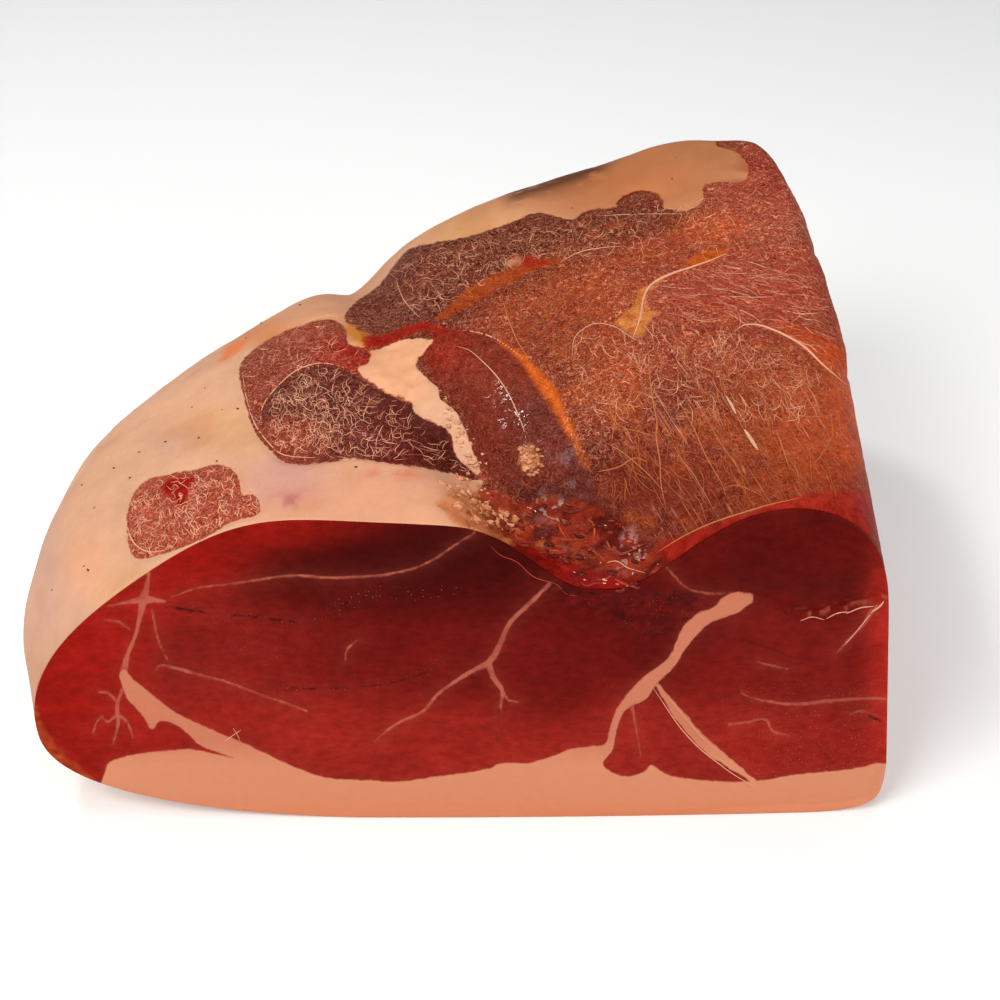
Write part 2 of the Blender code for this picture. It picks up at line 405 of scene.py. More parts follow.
def ribbon(x, y, path, widths, reach=30.0):
    """Distance to the edge of a line whose full width changes evenly between the given widths."""
    distance, share, _ = along(x, y, smooth(path), reach)
    return distance - np.interp(share, np.linspace(0, 1, len(widths)), widths) / 2


def ramp(value, start, end):
    """0 before start, 1 after end and a smooth step between."""
    t = np.clip((value - start) / (end - start), 0, 1)
    return t * t * (3 - 2 * t)


def waver(points, size, seed):
    """Noise from -1 to 1 whose lumps are about size wide: random values on a lattice, smoothly blended."""
    table = np.random.default_rng(seed).uniform(-1, 1, (LATTICE,) * 3)
    at = points / size + LATTICE_START
    cell = np.floor(at).astype(int)
    share = at - cell
    share = share * share * (3 - 2 * share)
    total = np.zeros(points.shape[:-1])
    for corner in np.ndindex(2, 2, 2):
        i, j, k = ((cell[..., axis] + corner[axis]) % LATTICE for axis in range(3))
        weight = np.prod([share[..., a] if corner[a] else 1 - share[..., a] for a in range(3)], axis=0)
        total += weight * table[i, j, k]
    return total


def blend(under, over, amount):
    """Two colours or colour fields mixed by a field."""
    return under + (np.asarray(over) - under) * np.asarray(amount)[..., None]


def tinted(tones, names, factor=1.0):
    """The sum of the named tones, times one factor or one for each channel."""
    return sum(tones[name] for name in names.split()) * np.asarray(factor)


def named_tones(colours, more):
    """A property group's colours and further display colours by name, as linear ones."""
    tones = {name: getattr(colours, name) for name in type(colours).__annotations__} | more
    return {name: linear(tone) for name, tone in tones.items()}


def spread(x, y, tones, base, base_weight, spots):
    """Colours that fade into each other: the mean of the spots' colours, weighed by their swells."""
    total = np.full(x.shape, base_weight)
    weighed = base * base_weight + np.zeros(x.shape + (3,))
    for centre, radii, *tint in spots:
        weight = swell(x, y, centre, radii)
        total = total + weight
        weighed = weighed + weight[..., None] * tinted(tones, *tint)
    return weighed / total[..., None]


# Where the cut's parts are seen, in pixels. Lines are followed by their widths.

CUT_FAT = (
    (96, 800), (104, 775), (110, 762), (132, 755), (160, 751), (188, 749), (202, 751), (235, 758),
    (202, 746), (188, 733), (173, 723), (160, 721), (152, 729), (143, 716), (131, 703), (126, 696),
    (119, 676), (125, 671), (132, 679), (152, 695), (177, 713), (216, 731), (244, 742), (273, 757),
    (301, 770), (329, 779), (371, 781), (399, 782), (435, 777), (484, 770), (502, 763), (528, 763),
    (557, 755), (572, 749), (598, 746), (607, 742), (609, 732), (616, 711), (631, 690), (645, 676),
    (663, 663), (672, 652), (681, 631), (695, 616), (713, 608), (722, 600), (733, 597), (746, 598),
    (754, 601), (746, 607), (736, 614), (710, 623), (696, 636), (684, 651), (673, 668), (657, 683),
    (646, 699), (631, 706),
    (622, 715), (616, 732), (613, 749), (603, 764), (616, 774), (631, 776), (645, 771), (650, 765),
    (657, 768), (672, 776), (704, 780), (733, 783), (763, 782), (792, 777), (821, 774), (851, 771),
    (900, 767), (910, 830), (500, 850), (100, 830),
)
CUT_SEAMS = (
    (((550, 585), (534, 600), (510, 623), (499, 647), (488, 663), (469, 673), (440, 692), (424, 710),
      (399, 722), (385, 732), (374, 742)), (3, 4, 4, 5, 6, 4, 3, 3, 2, 2, 1)),
    (((488, 664), (494, 679), (502, 691), (500, 712)), (6, 5, 3, 1)),
    (((502, 690), (508, 700), (518, 702)), (3, 2, 1)),
    (((172, 597), (200, 588), (233, 584), (289, 576), (329, 578), (371, 576), (399, 572), (427, 563),
      (452, 547), (478, 531)), (1, 1.4, 1.8, 2, 2, 2, 2, 2, 1.8, 1.4)),
    (((151, 562), (147, 585), (143, 600), (140, 616), (135, 637), (128, 654), (123, 674)),
     (1, 3, 9, 4, 3, 4, 7)),
    (((108, 606), (126, 603), (143, 600), (165, 602)), (1, 3, 8, 2)),
    (((104, 620), (118, 622), (130, 630)), (1, 2, 1)),
    (((155, 671), (163, 666), (194, 674), (228, 683), (261, 695), (289, 704), (306, 711)),
     (1, 3, 2, 2, 1.6, 1.6, 2)),
    (((152, 611), (155, 628), (160, 646), (168, 662)), (1, 2, 2, 1)),
    (((122, 690), (117, 706), (118, 724), (113, 744)), (3, 3.5, 3, 1)),
    (((100, 716), (108, 722), (117, 716), (127, 722), (133, 738)), (1, 2, 3, 2, 1)),
    (((93, 733), (97, 722), (103, 716)), (1, 2, 1)),
    (((118, 703), (108, 694), (99, 693)), (2, 2, 1)),
    (((742, 695), (756, 701), (794, 706), (832, 702), (889, 699)), (1, 2.4, 3.4, 3, 2)),
    (((729, 726), (748, 724), (766, 721), (773, 733), (790, 737)), (2, 2, 2.4, 2, 1)),
    (((757, 664), (770, 667), (788, 671)), (1, 2, 1)),
    (((632, 706), (636, 728), (641, 757)), (3, 2, 1)),
    (((345, 662), (347, 650), (357, 640)), (1, 2, 1)),
    (((850, 716), (862, 712), (876, 716)), (1, 2, 1)),
    (((657, 545), (663, 562), (675, 577), (690, 590), (715, 595), (733, 597)), (1, 1, 2, 2, 2, 1)),
    (((872, 612), (864, 624), (857, 632), (845, 644), (836, 655)), (5, 3, 2.4, 2, 1)),
)
RIGHT_SEAM = ((733, 600), (748, 600), (777, 609), (801, 618), (821, 617), (842, 613), (862, 609), (884, 600))
TENDON = ((657, 684), (670, 703), (686, 724), (705, 744), (725, 761), (741, 773), (760, 788))
TENDON_WIDTHS = (3, 8, 11, 12, 9, 6, 3)
GRANULAR_BAND = ((316, 616), (345, 606), (385, 592), (420, 594), (458, 588))
GRANULAR_WIDTHS = (6, 14, 16, 14, 8)
CUT_CRACKS = (
    (((163, 607), (180, 610), (200, 613), (228, 615), (258, 618), (289, 622), (314, 624)),
     (1, 3, 2, 1.6, 1.4, 2, 1)),
    (((281, 685), (301, 689), (329, 689), (371, 686), (399, 681), (427, 671), (449, 651)),
     (0.6, 1, 0.6, 0.8, 0.6, 0.6, 0.4)),
    (((330, 611), (352, 601), (372, 596)), (0.5, 1.4, 0.5)),
    (((232, 649), (252, 650), (272, 656)), (0.4, 1, 0.4)),
    (((500, 700), (497, 740)), (1, 1)),
    (((866, 716), (874, 720), (882, 722)), (1, 3, 1)),
)
RAGGED_CUT = ((520, 572), (560, 585), (625, 592), (690, 593), (704, 604), (680, 628), (640, 640), (610, 620),
              (560, 604))

# Where the outside's parts are seen, in pixels

MEAT_TOP = (
    (345, 316), (357, 301), (378, 286), (396, 262), (412, 248), (459, 239), (488, 230), (515, 221),
    (539, 214), (571, 221), (588, 211), (614, 207), (625, 197), (645, 190), (660, 196), (665, 208),
    (689, 210), (703, 200), (704, 186), (722, 181), (743, 181), (749, 166), (735, 151), (716, 141),
    (740, 110), (940, 150), (940, 560), (760, 600), (640, 640), (540, 620), (478, 545), (466, 520),
    (474, 498), (483, 479), (472, 448), (463, 426), (454, 410), (442, 402), (438, 389), (428, 381),
    (416, 367), (424, 354), (434, 343), (427, 339), (401, 341), (388, 347), (369, 350), (357, 331),
)
MIDDLE_MUSCLE = (
    (239, 367), (253, 349), (279, 331), (304, 321), (330, 316), (346, 326), (348, 342), (368, 349),
    (369, 360), (357, 367), (381, 386), (411, 401), (414, 411), (429, 418), (449, 430), (457, 453),
    (483, 478), (465, 474), (432, 464), (396, 460), (355, 456), (317, 459), (284, 457), (266, 443),
    (253, 428), (245, 402),
)
LOWER_MUSCLE = (
    (262, 433), (263, 408), (279, 385), (299, 370), (322, 365), (345, 368), (381, 388), (411, 403),
    (429, 419), (449, 431), (457, 453), (478, 477), (432, 464), (396, 460), (355, 456), (317, 459),
    (284, 457), (266, 443),
)
DRIED_PATCH = (
    (128, 502), (141, 482), (164, 473), (189, 468), (217, 462), (233, 469), (239, 482), (243, 494),
    (253, 492), (259, 511), (232, 520), (207, 536), (184, 546), (161, 553), (133, 556), (126, 535),
)
PATCH_RED = ((161, 487), (176, 475), (195, 476), (189, 494), (184, 508), (171, 498))
GLOSSY_MUSCLE = (
    (421, 352), (437, 331), (456, 326), (475, 331), (494, 338), (512, 350), (527, 367), (540, 388),
    (553, 408), (567, 431), (580, 455), (590, 475), (603, 508), (585, 528), (545, 515), (508, 492),
    (480, 466), (466, 424), (451, 400), (436, 382),
)
AMBER_BAND = ((438, 320), (456, 306), (478, 291), (505, 277), (531, 268), (562, 261))
AMBER_BAND_WIDTHS = (6, 14, 17, 14, 10, 3)
AMBER_SEAM = ((500, 341), (522, 357), (535, 373), (547, 388), (556, 402), (564, 420), (573, 437), (588, 468))
AMBER_SEAM_WIDTHS = (2, 5, 9, 13, 9, 6, 4, 3)
AMBER_EDGE = ((346, 324), (354, 324), (358, 330), (368, 333), (366, 345), (352, 340))
RED_EDGE = ((368, 341), (385, 340), (406, 331), (428, 327), (450, 330))
RED_EDGE_WIDTHS = (10, 12, 11, 10, 3)
YELLOW_FAT = (
    (616, 323), (630, 309), (640, 291), (655, 280), (664, 277), (648, 292), (646, 305), (659, 313),
    (650, 321), (645, 330), (641, 339), (633, 337),
)
PINK_MUSCLE = (
    (644, 299), (650, 289), (662, 281), (682, 277), (702, 269), (722, 258), (743, 257), (763, 260),
    (784, 256), (804, 254), (824, 258), (850, 300), (870, 372), (836, 374), (808, 350), (776, 331),
    (743, 325), (700, 324), (660, 315),
)
TENDON_LINE = ((735, 331), (744, 325), (759, 325), (776, 331), (794, 340), (808, 350), (822, 364), (849, 387))
RIM_BAND = (
    (655, 548), (683, 535), (743, 515), (784, 500), (835, 492), (861, 492), (885, 494), (890, 530),
    (835, 540), (748, 560), (690, 580),
)
RED_STRIP = ((488, 541), (513, 552), (545, 566), (580, 580), (612, 584), (650, 582))
RED_STRIP_WIDTHS = (6, 20, 28, 28, 22, 6)
SMALL_MUSCLE = ((617, 203), (624, 193), (641, 189), (659, 194), (662, 205), (638, 210))
RAGGED_FAT = ((440, 504), (470, 488), (492, 500), (520, 515), (530, 530), (498, 548), (466, 536))
RAGGED_MEAT = (
    (476, 484), (520, 500), (560, 500), (600, 512), (640, 535), (664, 560), (690, 590), (650, 604),
    (600, 590), (540, 560), (500, 536),
)
FAT_ROLL = ((118, 430), (146, 411), (172, 396), (200, 378), (226, 364))
FAT_ROLL_WIDTHS = (4, 12, 16, 12, 4)
OUTSIDE_LINES = (
    (((633, 338), (640, 318), (644, 297), (652, 284), (671, 274), (692, 267), (714, 259), (727, 253)), 4.2,
     "pale"),
    (((718, 256), (745, 254), (763, 257), (784, 253), (806, 250), (820, 258)), 3.4, "pale"),
    (TENDON_LINE, 4.2, "pale"),
    (((458, 330), (475, 332), (494, 338), (511, 349), (522, 358)), 2.2, "pale"),
    (((455, 346), (469, 350), (481, 360), (494, 373), (505, 388), (513, 403), (523, 427), (527, 444)), 1.8,
     "pale"),
    (((262, 434), (262, 408), (279, 385), (299, 369), (322, 363), (346, 368)), 2.2, "pale"),
    (((242, 372), (247, 400), (255, 424), (268, 442), (284, 455), (317, 458)), 2.0, "pale"),
    (((128, 502), (126, 520), (134, 543), (150, 552), (170, 549)), 2.2, "pale"),
    (((233, 469), (240, 482), (243, 494), (253, 491), (259, 510)), 2.4, "pale"),
    (((292, 335), (300, 326), (318, 318), (334, 316), (340, 322)), 2.0, "pale"),
    (((320, 462), (360, 458), (398, 462), (434, 468), (468, 478)), 2.0, "pale"),
    (((503, 300), (508, 318), (518, 342), (530, 360)), 2.4, "amber"),
    (((640, 545), (655, 555), (668, 572), (684, 590)), 2.6, "pale"),
    (((656, 553), (684, 536), (712, 523), (742, 513), (772, 504), (800, 498)), 2.6, "amber"),
    (((647, 343), (649, 367), (652, 396), (657, 423), (656, 437), (660, 461), (661, 484), (666, 508)), 2.2,
     "amber"),
    (((605, 388), (613, 418), (624, 428), (637, 431), (656, 437)), 1.6, "amber"),
    (((611, 387), (616, 412), (612, 440), (615, 458)), 1.4, "amber"),
    (((678, 399), (687, 416), (695, 431), (707, 458), (722, 484), (726, 496)), 1.6, "amber"),
    (((672, 443), (682, 460), (692, 472), (704, 492), (713, 508)), 1.4, "amber"),
    (((572, 358), (575, 337), (593, 324), (613, 326), (631, 337), (643, 343)), 1.6, "pale"),
    (((596, 472), (619, 467), (634, 458), (648, 462)), 2.0, "amber"),
    (((726, 396), (731, 404), (736, 414)), 4.6, "cream"),
    (((744, 429), (750, 438), (758, 450)), 6.4, "cream"),
    (((736, 414), (744, 430)), 1.4, "amber"),
    (((776, 428), (784, 452), (790, 470)), 2.2, "amber"),
    (((743, 383), (757, 390), (769, 399)), 1.8, "amber"),
    (((783, 384), (786, 401), (790, 413), (787, 426)), 2.0, "amber"),
    (((838, 402), (831, 418), (833, 434), (822, 454), (812, 466)), 1.6, "amber"),
    (((790, 413), (812, 417), (838, 414)), 1.4, "amber"),
    (((722, 489), (736, 485), (750, 490), (763, 496)), 1.2, "amber"),
    (((600, 440), (622, 452), (648, 474), (664, 492)), 1.6, "amber"),
    (((668, 322), (680, 350), (694, 378), (706, 400)), 1.4, "amber"),
    (((770, 340), (790, 366), (800, 392)), 1.4, "amber"),
    (((700, 402), (716, 436), (738, 468), (750, 486)), 1.4, "amber"),
    (((560, 262), (580, 252), (600, 248), (622, 246)), 1.8, "pale"),
    (((420, 318), (404, 300), (396, 280)), 1.4, "pale"),
    (((596, 216), (640, 214), (686, 214)), 1.4, "pale"),
    (((488, 529), (506, 540), (520, 540), (538, 550), (556, 549)), 1.2, "pale"),
    (((600, 565), (616, 561), (628, 568), (646, 573)), 1.3, "pale"),
)
CUT_LINES = (
    (((224, 742), (232, 736), (241, 730)), 1.2, "pale"),
    (((233, 728), (237, 734), (240, 741)), 1.0, "pale"),
    (((652, 686), (664, 704), (679, 726), (698, 747), (718, 763), (736, 776), (763, 791)), 1.7, "pale"),
    (((668, 697), (684, 716), (701, 736), (719, 752)), 1.0, "pale"),
    (((490, 545), (500, 555), (517, 562), (534, 577), (556, 584), (566, 594), (578, 596)), 1.1, "rose"),
    (((878, 604), (868, 617), (856, 632), (842, 648)), 1.6, "pale"),
    (((884, 601), (880, 606), (872, 612)), 3.0, "pale"),
    (((800, 621), (812, 617), (825, 620)), 1.4, "pale"),
    (((826, 619), (838, 613), (852, 612)), 1.6, "pale"),
    (((846, 614), (860, 608), (875, 606)), 1.8, "pale"),
)
# Outline, how many, heading and its spread in degrees (right is 0, down is 90), length, curl, width and
# two colours
FIBRES = (
    (PINK_MUSCLE, 120, 14, 7, 34, 0.6, 0.6, "fibre", "rose"),
    (PINK_MUSCLE, 150, 16, 30, 22, 1.4, 0.45, "fibre", "rose"),
    (((590, 380), (700, 350), (840, 400), (850, 480), (740, 500), (650, 520), (600, 440)),
     90, 64, 9, 40, 0.7, 0.42, "golden", "amber"),
    (((566, 330), (620, 335), (650, 320), (740, 335), (830, 380), (800, 420), (640, 420), (580, 400)),
     340, 62, 45, 20, 1.8, 0.45, "fibre", "golden"),
    (((740, 330), (800, 350), (860, 400), (860, 470), (780, 480), (700, 470), (600, 500), (640, 440)),
     260, 62, 24, 26, 1.1, 0.45, "golden", "amber"),
    (((500, 300), (560, 265), (640, 280), (625, 320), (580, 335), (560, 370), (530, 350)),
     200, 40, 90, 18, 2.2, 0.45, "golden", "amber"),
    (((385, 300), (400, 262), (470, 240), (620, 212), (760, 190), (800, 250), (640, 262), (520, 266),
      (440, 312)),
     330, -8, 50, 15, 1.8, 0.45, "golden", "fibre"),
    (((265, 433), (264, 408), (280, 386), (299, 370), (322, 366), (380, 390), (420, 425), (400, 455),
      (300, 455)),
     210, 0, 180, 17, 4.6, 0.52, "fibre", "rose"),
    (((268, 433), (268, 408), (284, 390), (302, 374), (350, 385), (350, 430), (330, 452), (290, 452)),
     120, 0, 180, 17, 4.6, 0.52, "fibre", "cream"),
    (((340, 462), (430, 462), (470, 474), (440, 440), (380, 440)),
     24, 14, 8, 20, 0.7, 0.6, "fibre", "rose"),
    (MIDDLE_MUSCLE, 240, 150, 36, 15, 1.4, 0.5, "fibre", "rose"),
    (DRIED_PATCH, 240, 0, 180, 11, 3.0, 0.62, "fibre", "cream"),
)
# Outline, how many, smallest and largest radius in millimetres, two colours
FAT_LUMPS = (
    (((446, 500), (470, 488), (492, 500), (520, 515), (524, 524), (498, 534), (470, 522)),
     80, 0.3, 1.0, "golden", "peach"),
    (((437, 474), (470, 470), (496, 488), (486, 503), (452, 500)), 26, 0.3, 1.0, "peach", "golden"),
    (((517, 447), (534, 443), (546, 458), (540, 478), (522, 474)), 60, 0.3, 0.9, "peach", "golden"),
    (((424, 356), (448, 390), (472, 424), (492, 474), (470, 474), (440, 412)),
     44, 0.3, 0.8, "peach", "cream"),
    (((620, 541), (638, 540), (646, 556), (634, 568)), 16, 0.3, 0.6, "rose", "peach"),
)
MEAT_LUMPS = (
    (RAGGED_MEAT, 70, 0.3, 1.0, "maroon", "rose"),
    (RAGGED_MEAT, 24, 0.15, 0.35, "fibre", "peach"),
)
SHREDS = (
    (RAGGED_MEAT, 26, 20, 26, 26, 1.2, 2.4, "rose", "brown"),
    (RAGGED_MEAT, 14, 24, 30, 18, 1.6, 1.6, "rose", "amber"),
)
FAT_SPECKS = (
    (139, 452), (199, 438), (217, 461), (290, 465), (82, 485), (94, 508), (142, 484), (114, 468),
    (192, 407), (222, 410), (238, 409), (262, 322), (300, 305), (246, 338), (84, 566), (88, 570),
    (52, 590), (130, 478), (165, 442), (205, 388), (356, 467), (676, 158), (672, 179), (572, 208),
)


# Where colours lie: middle, radii, the tones that are added up and what they are multiplied by
CUT_TONES = {"glow": shade(170, 38, 28), "dried": shade(166, 78, 34)}
CUT_SPOTS = (
    ((70, 690), (50, 75), "bright"), ((120, 610), (40, 45), "bright"), ((185, 560), (50, 26), "bright", 0.95),
    ((275, 528), (75, 17), "bright", 0.85), ((140, 735), (70, 24), "bright"), ((887, 640), (16, 130), "glow"),
    ((300, 735), (150, 38), "low"), ((500, 745), (110, 26), "low"), ((720, 745), (120, 34), "low"),
    ((230, 650), (80, 45), "low lean", 0.5), ((620, 735), (30, 30), "low"), ((400, 655), (120, 42), "lean"),
    ((565, 670), (60, 55), "lean"), ((800, 655), (85, 45), "lean", (1.25, 1.5, 1.5)),
    ((430, 562), (105, 36), "dark"), ((440, 570), (90, 30), "dark"), ((350, 590), (80, 22), "lean dark", 0.5),
    ((500, 600), (70, 26), "lean dark", 0.5), ((620, 606), (70, 24), "lean dark", 0.5),
    ((780, 560), (120, 38), "lean dark", 0.5), ((800, 545), (90, 34), "lean dark", (0.575, 0.65, 0.65)),
    ((655, 640), (34, 24), "lean dark", 0.5),
)
DRIED_CORNER, DRIED_CORNER_WIDTHS = ((26, 690), (44, 738), (70, 765), (100, 790)), (4, 8, 9, 9)
OUTSIDE_TONES = {
    # The last tone on the next line is painted haze of sheen for the glossy muscle
    "tan": shade(196, 140, 92), "blush": shade(196, 142, 130), "sheen_haze": shade(88, 34, 32),
    "wine": shade(84, 24, 22), "orange": shade(212, 96, 24), "ochre": shade(186, 112, 36),
    "straw": shade(198, 120, 62), "coral": shade(214, 112, 62), "rim": shade(142, 29, 20),
    "rim_top": shade(152, 40, 26), "strip": shade(122, 10, 8), "torn": shade(160, 66, 40),
    # The second tone on the next line is painted shadow for the bone's hollow
    "scrap": shade(186, 122, 78), "hollow_shadow": shade(78, 14, 9), "moist": shade(136, 42, 22),
    "moist_fat": shade(176, 92, 44), "bruise": shade(196, 92, 66), "violet": shade(160, 66, 82),
    "rind": shade(140, 88, 56), "skin": shade(84, 46, 30), "speck": shade(104, 58, 36),
}
FAT_SPOTS = (
    ((110, 500), (60, 60), "cream"), ((50, 600), (40, 60), "cream", (0.93, 0.95, 1.05)),
    ((300, 300), (90, 30), "cream", (0.92, 0.80, 0.72)), ((360, 500), (90, 26), "peach", (0.9, 0.92, 0.96)),
    ((400, 365), (30, 26), "peach", (1.04, 1.08, 1.0)), ((620, 180), (110, 30), "golden", (0.92, 0.86, 0.74)),
    ((478, 228), (52, 16), "tan"), ((700, 150), (40, 14), "golden", (0.82, 0.9, 0.95)),
    ((290, 482), (30, 18), "blush"), ((60, 690), (30, 40), "cream", (0.9, 0.82, 0.75)),
    ((130, 590), (36, 16), "cream", (1.0, 0.95, 0.72)), ((215, 430), (30, 16), "cream", (0.98, 0.94, 0.74)),
    ((180, 440), (26, 12), "cream", (0.9, 0.9, 1.0)), ((46, 560), (12, 60), "cream", (0.86, 0.92, 1.15)),
    ((85, 560), (20, 30), "peach"), ((260, 330), (40, 10), "golden", (1.25, 1.3, 1.2)),
)
MEAT_SPOTS = (
    ((470, 262), (70, 34), "umber", (1.02, 0.86, 0.62)), ((560, 236), (110, 20), "umber", (1.2, 1.05, 0.85)),
    ((430, 300), (40, 26), "maroon", (1.25, 1.15, 0.95)), ((525, 315), (45, 30), "brown amber", 0.5),
    ((595, 290), (34, 26), "brown amber", 0.5), ((560, 350), (30, 36), "brown"),
    ((610, 370), (34, 40), "brown amber", 1 / 1.9), ((740, 290), (90, 34), "rose", (1.14, 1.0, 1.0)),
    ((700, 345), (60, 30), "rose", 0.92), ((700, 450), (60, 60), "brown", (0.9, 0.78, 0.7)),
    ((610, 480), (45, 36), "brown", (0.72, 0.58, 0.5)), ((800, 420), (36, 50), "rose amber", 1 / 2.1),
    ((850, 400), (18, 70), "amber", (1.25, 1.0, 0.6)), ((760, 480), (50, 24), "brown amber", 1 / 2.6),
    ((845, 485), (34, 18), "rose", (0.8, 0.7, 0.6)), ((780, 200), (50, 40), "rose", (1.25, 1.45, 1.4)),
    ((715, 230), (26, 12), "amber", 1.15), ((640, 262), (40, 22), "brown amber", 0.5),
)
GLOSSY_SPOTS = (
    ((450, 350), (24, 20), "red", (0.9, 1.6, 1.4)), ((500, 370), (34, 26), "maroon rose", 1 / 1.8),
    # The first spot on the next line, among the glints, is painted haze of sheen over the muscle's own dark
    # tone
    ((560, 440), (34, 40), "sheen_haze"), ((490, 450), (30, 40), "brown"), ((530, 500), (50, 30), "maroon", 0.8),
)
MIDDLE_SPOTS = (((350, 352), (24, 14), "red"), ((300, 330), (30, 12), "rose"))
LOWER_SPOTS = (((280, 440), (30, 14), "rose", 0.9), ((450, 455), (30, 16), "maroon", 0.9))
OUTLINES = {
    "top": MEAT_TOP, "middle": MIDDLE_MUSCLE, "lower": LOWER_MUSCLE, "patch": DRIED_PATCH,
    "small": SMALL_MUSCLE,
    "patch_red": PATCH_RED, "glossy": GLOSSY_MUSCLE, "pink": PINK_MUSCLE, "rim": RIM_BAND,
    "ragged_fat": RAGGED_FAT, "ragged_meat": RAGGED_MEAT,
}
# Seams and edges: strength, line or outline, its widths if it's a line, how far noise moves the edge, how
# soft it is, the tones, what they are multiplied by and the share of the fibre net that stays
SEAM_LAYERS = (
    (0.75, AMBER_BAND, AMBER_BAND_WIDTHS, 1, 2, "amber", (0.78, 0.82, 0.7), 0),
    (0.8, AMBER_SEAM, AMBER_SEAM_WIDTHS, 0.6, 3, "orange", 1, 0),
    (0.9, AMBER_EDGE, None, 0.5, 2, "ochre", 1, 0),
    (0.9, RED_EDGE, RED_EDGE_WIDTHS, 1, 1.5, "red", (1.05, 1.3, 0.9), 0),
    (0.92, YELLOW_FAT, None, 0.6, 1.2, "straw", 1, 0),
    (0.85, ((688, 264), (706, 257), (726, 250)), (6, 14, 5), 0, 2, "amber", (1.1, 1.4, 1.0), 0),
    (0.75, ((780, 325), (806, 338), (828, 352), (852, 374)), (3, 12, 18, 16), 1, 3, "amber",
     (1.0, 0.85, 0.75), 0.3),
)
TOP_LAYERS = (
    (0.7, ((514, 260), (528, 262), (546, 264)), (8, 12, 5), 1, 2, "red", 1, 0),
    (0.6, ((508, 262), (518, 260)), (6, 7), 1, 2, "peach", 1, 0),
    (0.5, ((632, 244), (664, 240), (694, 240)), (6, 11, 6), 1, 3, "rose", (1.3, 1.4, 1.8), 0),
    (0.85, ((222, 361), (232, 351), (244, 342)), (6, 12, 7), 1, 2, "coral", 1, 0),
)
# Stains on the fat: strength, middle, radii and tone
STAINS = (
    (0.7, (394, 474), (26, 8), "bruise"), (0.6, (291, 500), (20, 9), "violet"),
    (0.5, (455, 500), (24, 16), "golden"),
)
# Swells: middle and radii
TONGUE, TONGUE_TIP = ((420, 385), (46, 40)), ((478, 470), (26, 34))
RED_TIP, STICKING_SCRAP, TOP_RIGHT = ((352, 352), (26, 14)), ((531, 461), (12, 17)), ((765, 175), (30, 26))
TANGLED, DIMPLE, WRINKLED = ((785, 210), (60, 60)), ((752, 436), (8, 20)), ((552, 440), (38, 62))
GLINTS, LOW_GLINTS = ((530, 405), (26, 28)), ((570, 466), (22, 38))
MUSCLE_HEIGHTS = {"middle": 0.9, "lower": 0.6, "patch": 0.5, "glossy": 1.6, "pink": 1.1, "small": 0.5}
FURROW_DEPTH, FURROW_WIDTH, MUSCLE_SHOULDER = 0.75, 3.2, 26
PINK_GRAIN, MEAT_GRAIN, RIDGE_GRAIN, RIDGES_PER_MM = -19.0, -74.0, -10, 2.1


# Painting and relief


def dried_grain(points, direction_degrees):
    """Coordinates in millimetres along a direction seen from above, across it, and up."""
    turn = np.radians(direction_degrees)
    x, y, z = points[..., 0], points[..., 1], points[..., 2]
    return np.stack([x * np.cos(turn) + y * np.sin(turn), y * np.cos(turn) - x * np.sin(turn), z], axis=-1)


def nearest_line(x, y, lines):
    """Distance to the edge of the nearest line, each given as its path and widths."""
    return np.minimum.reduce([np.full(x.shape, FAR_PIXELS)] + [ribbon(x, y, *line) for line in lines])


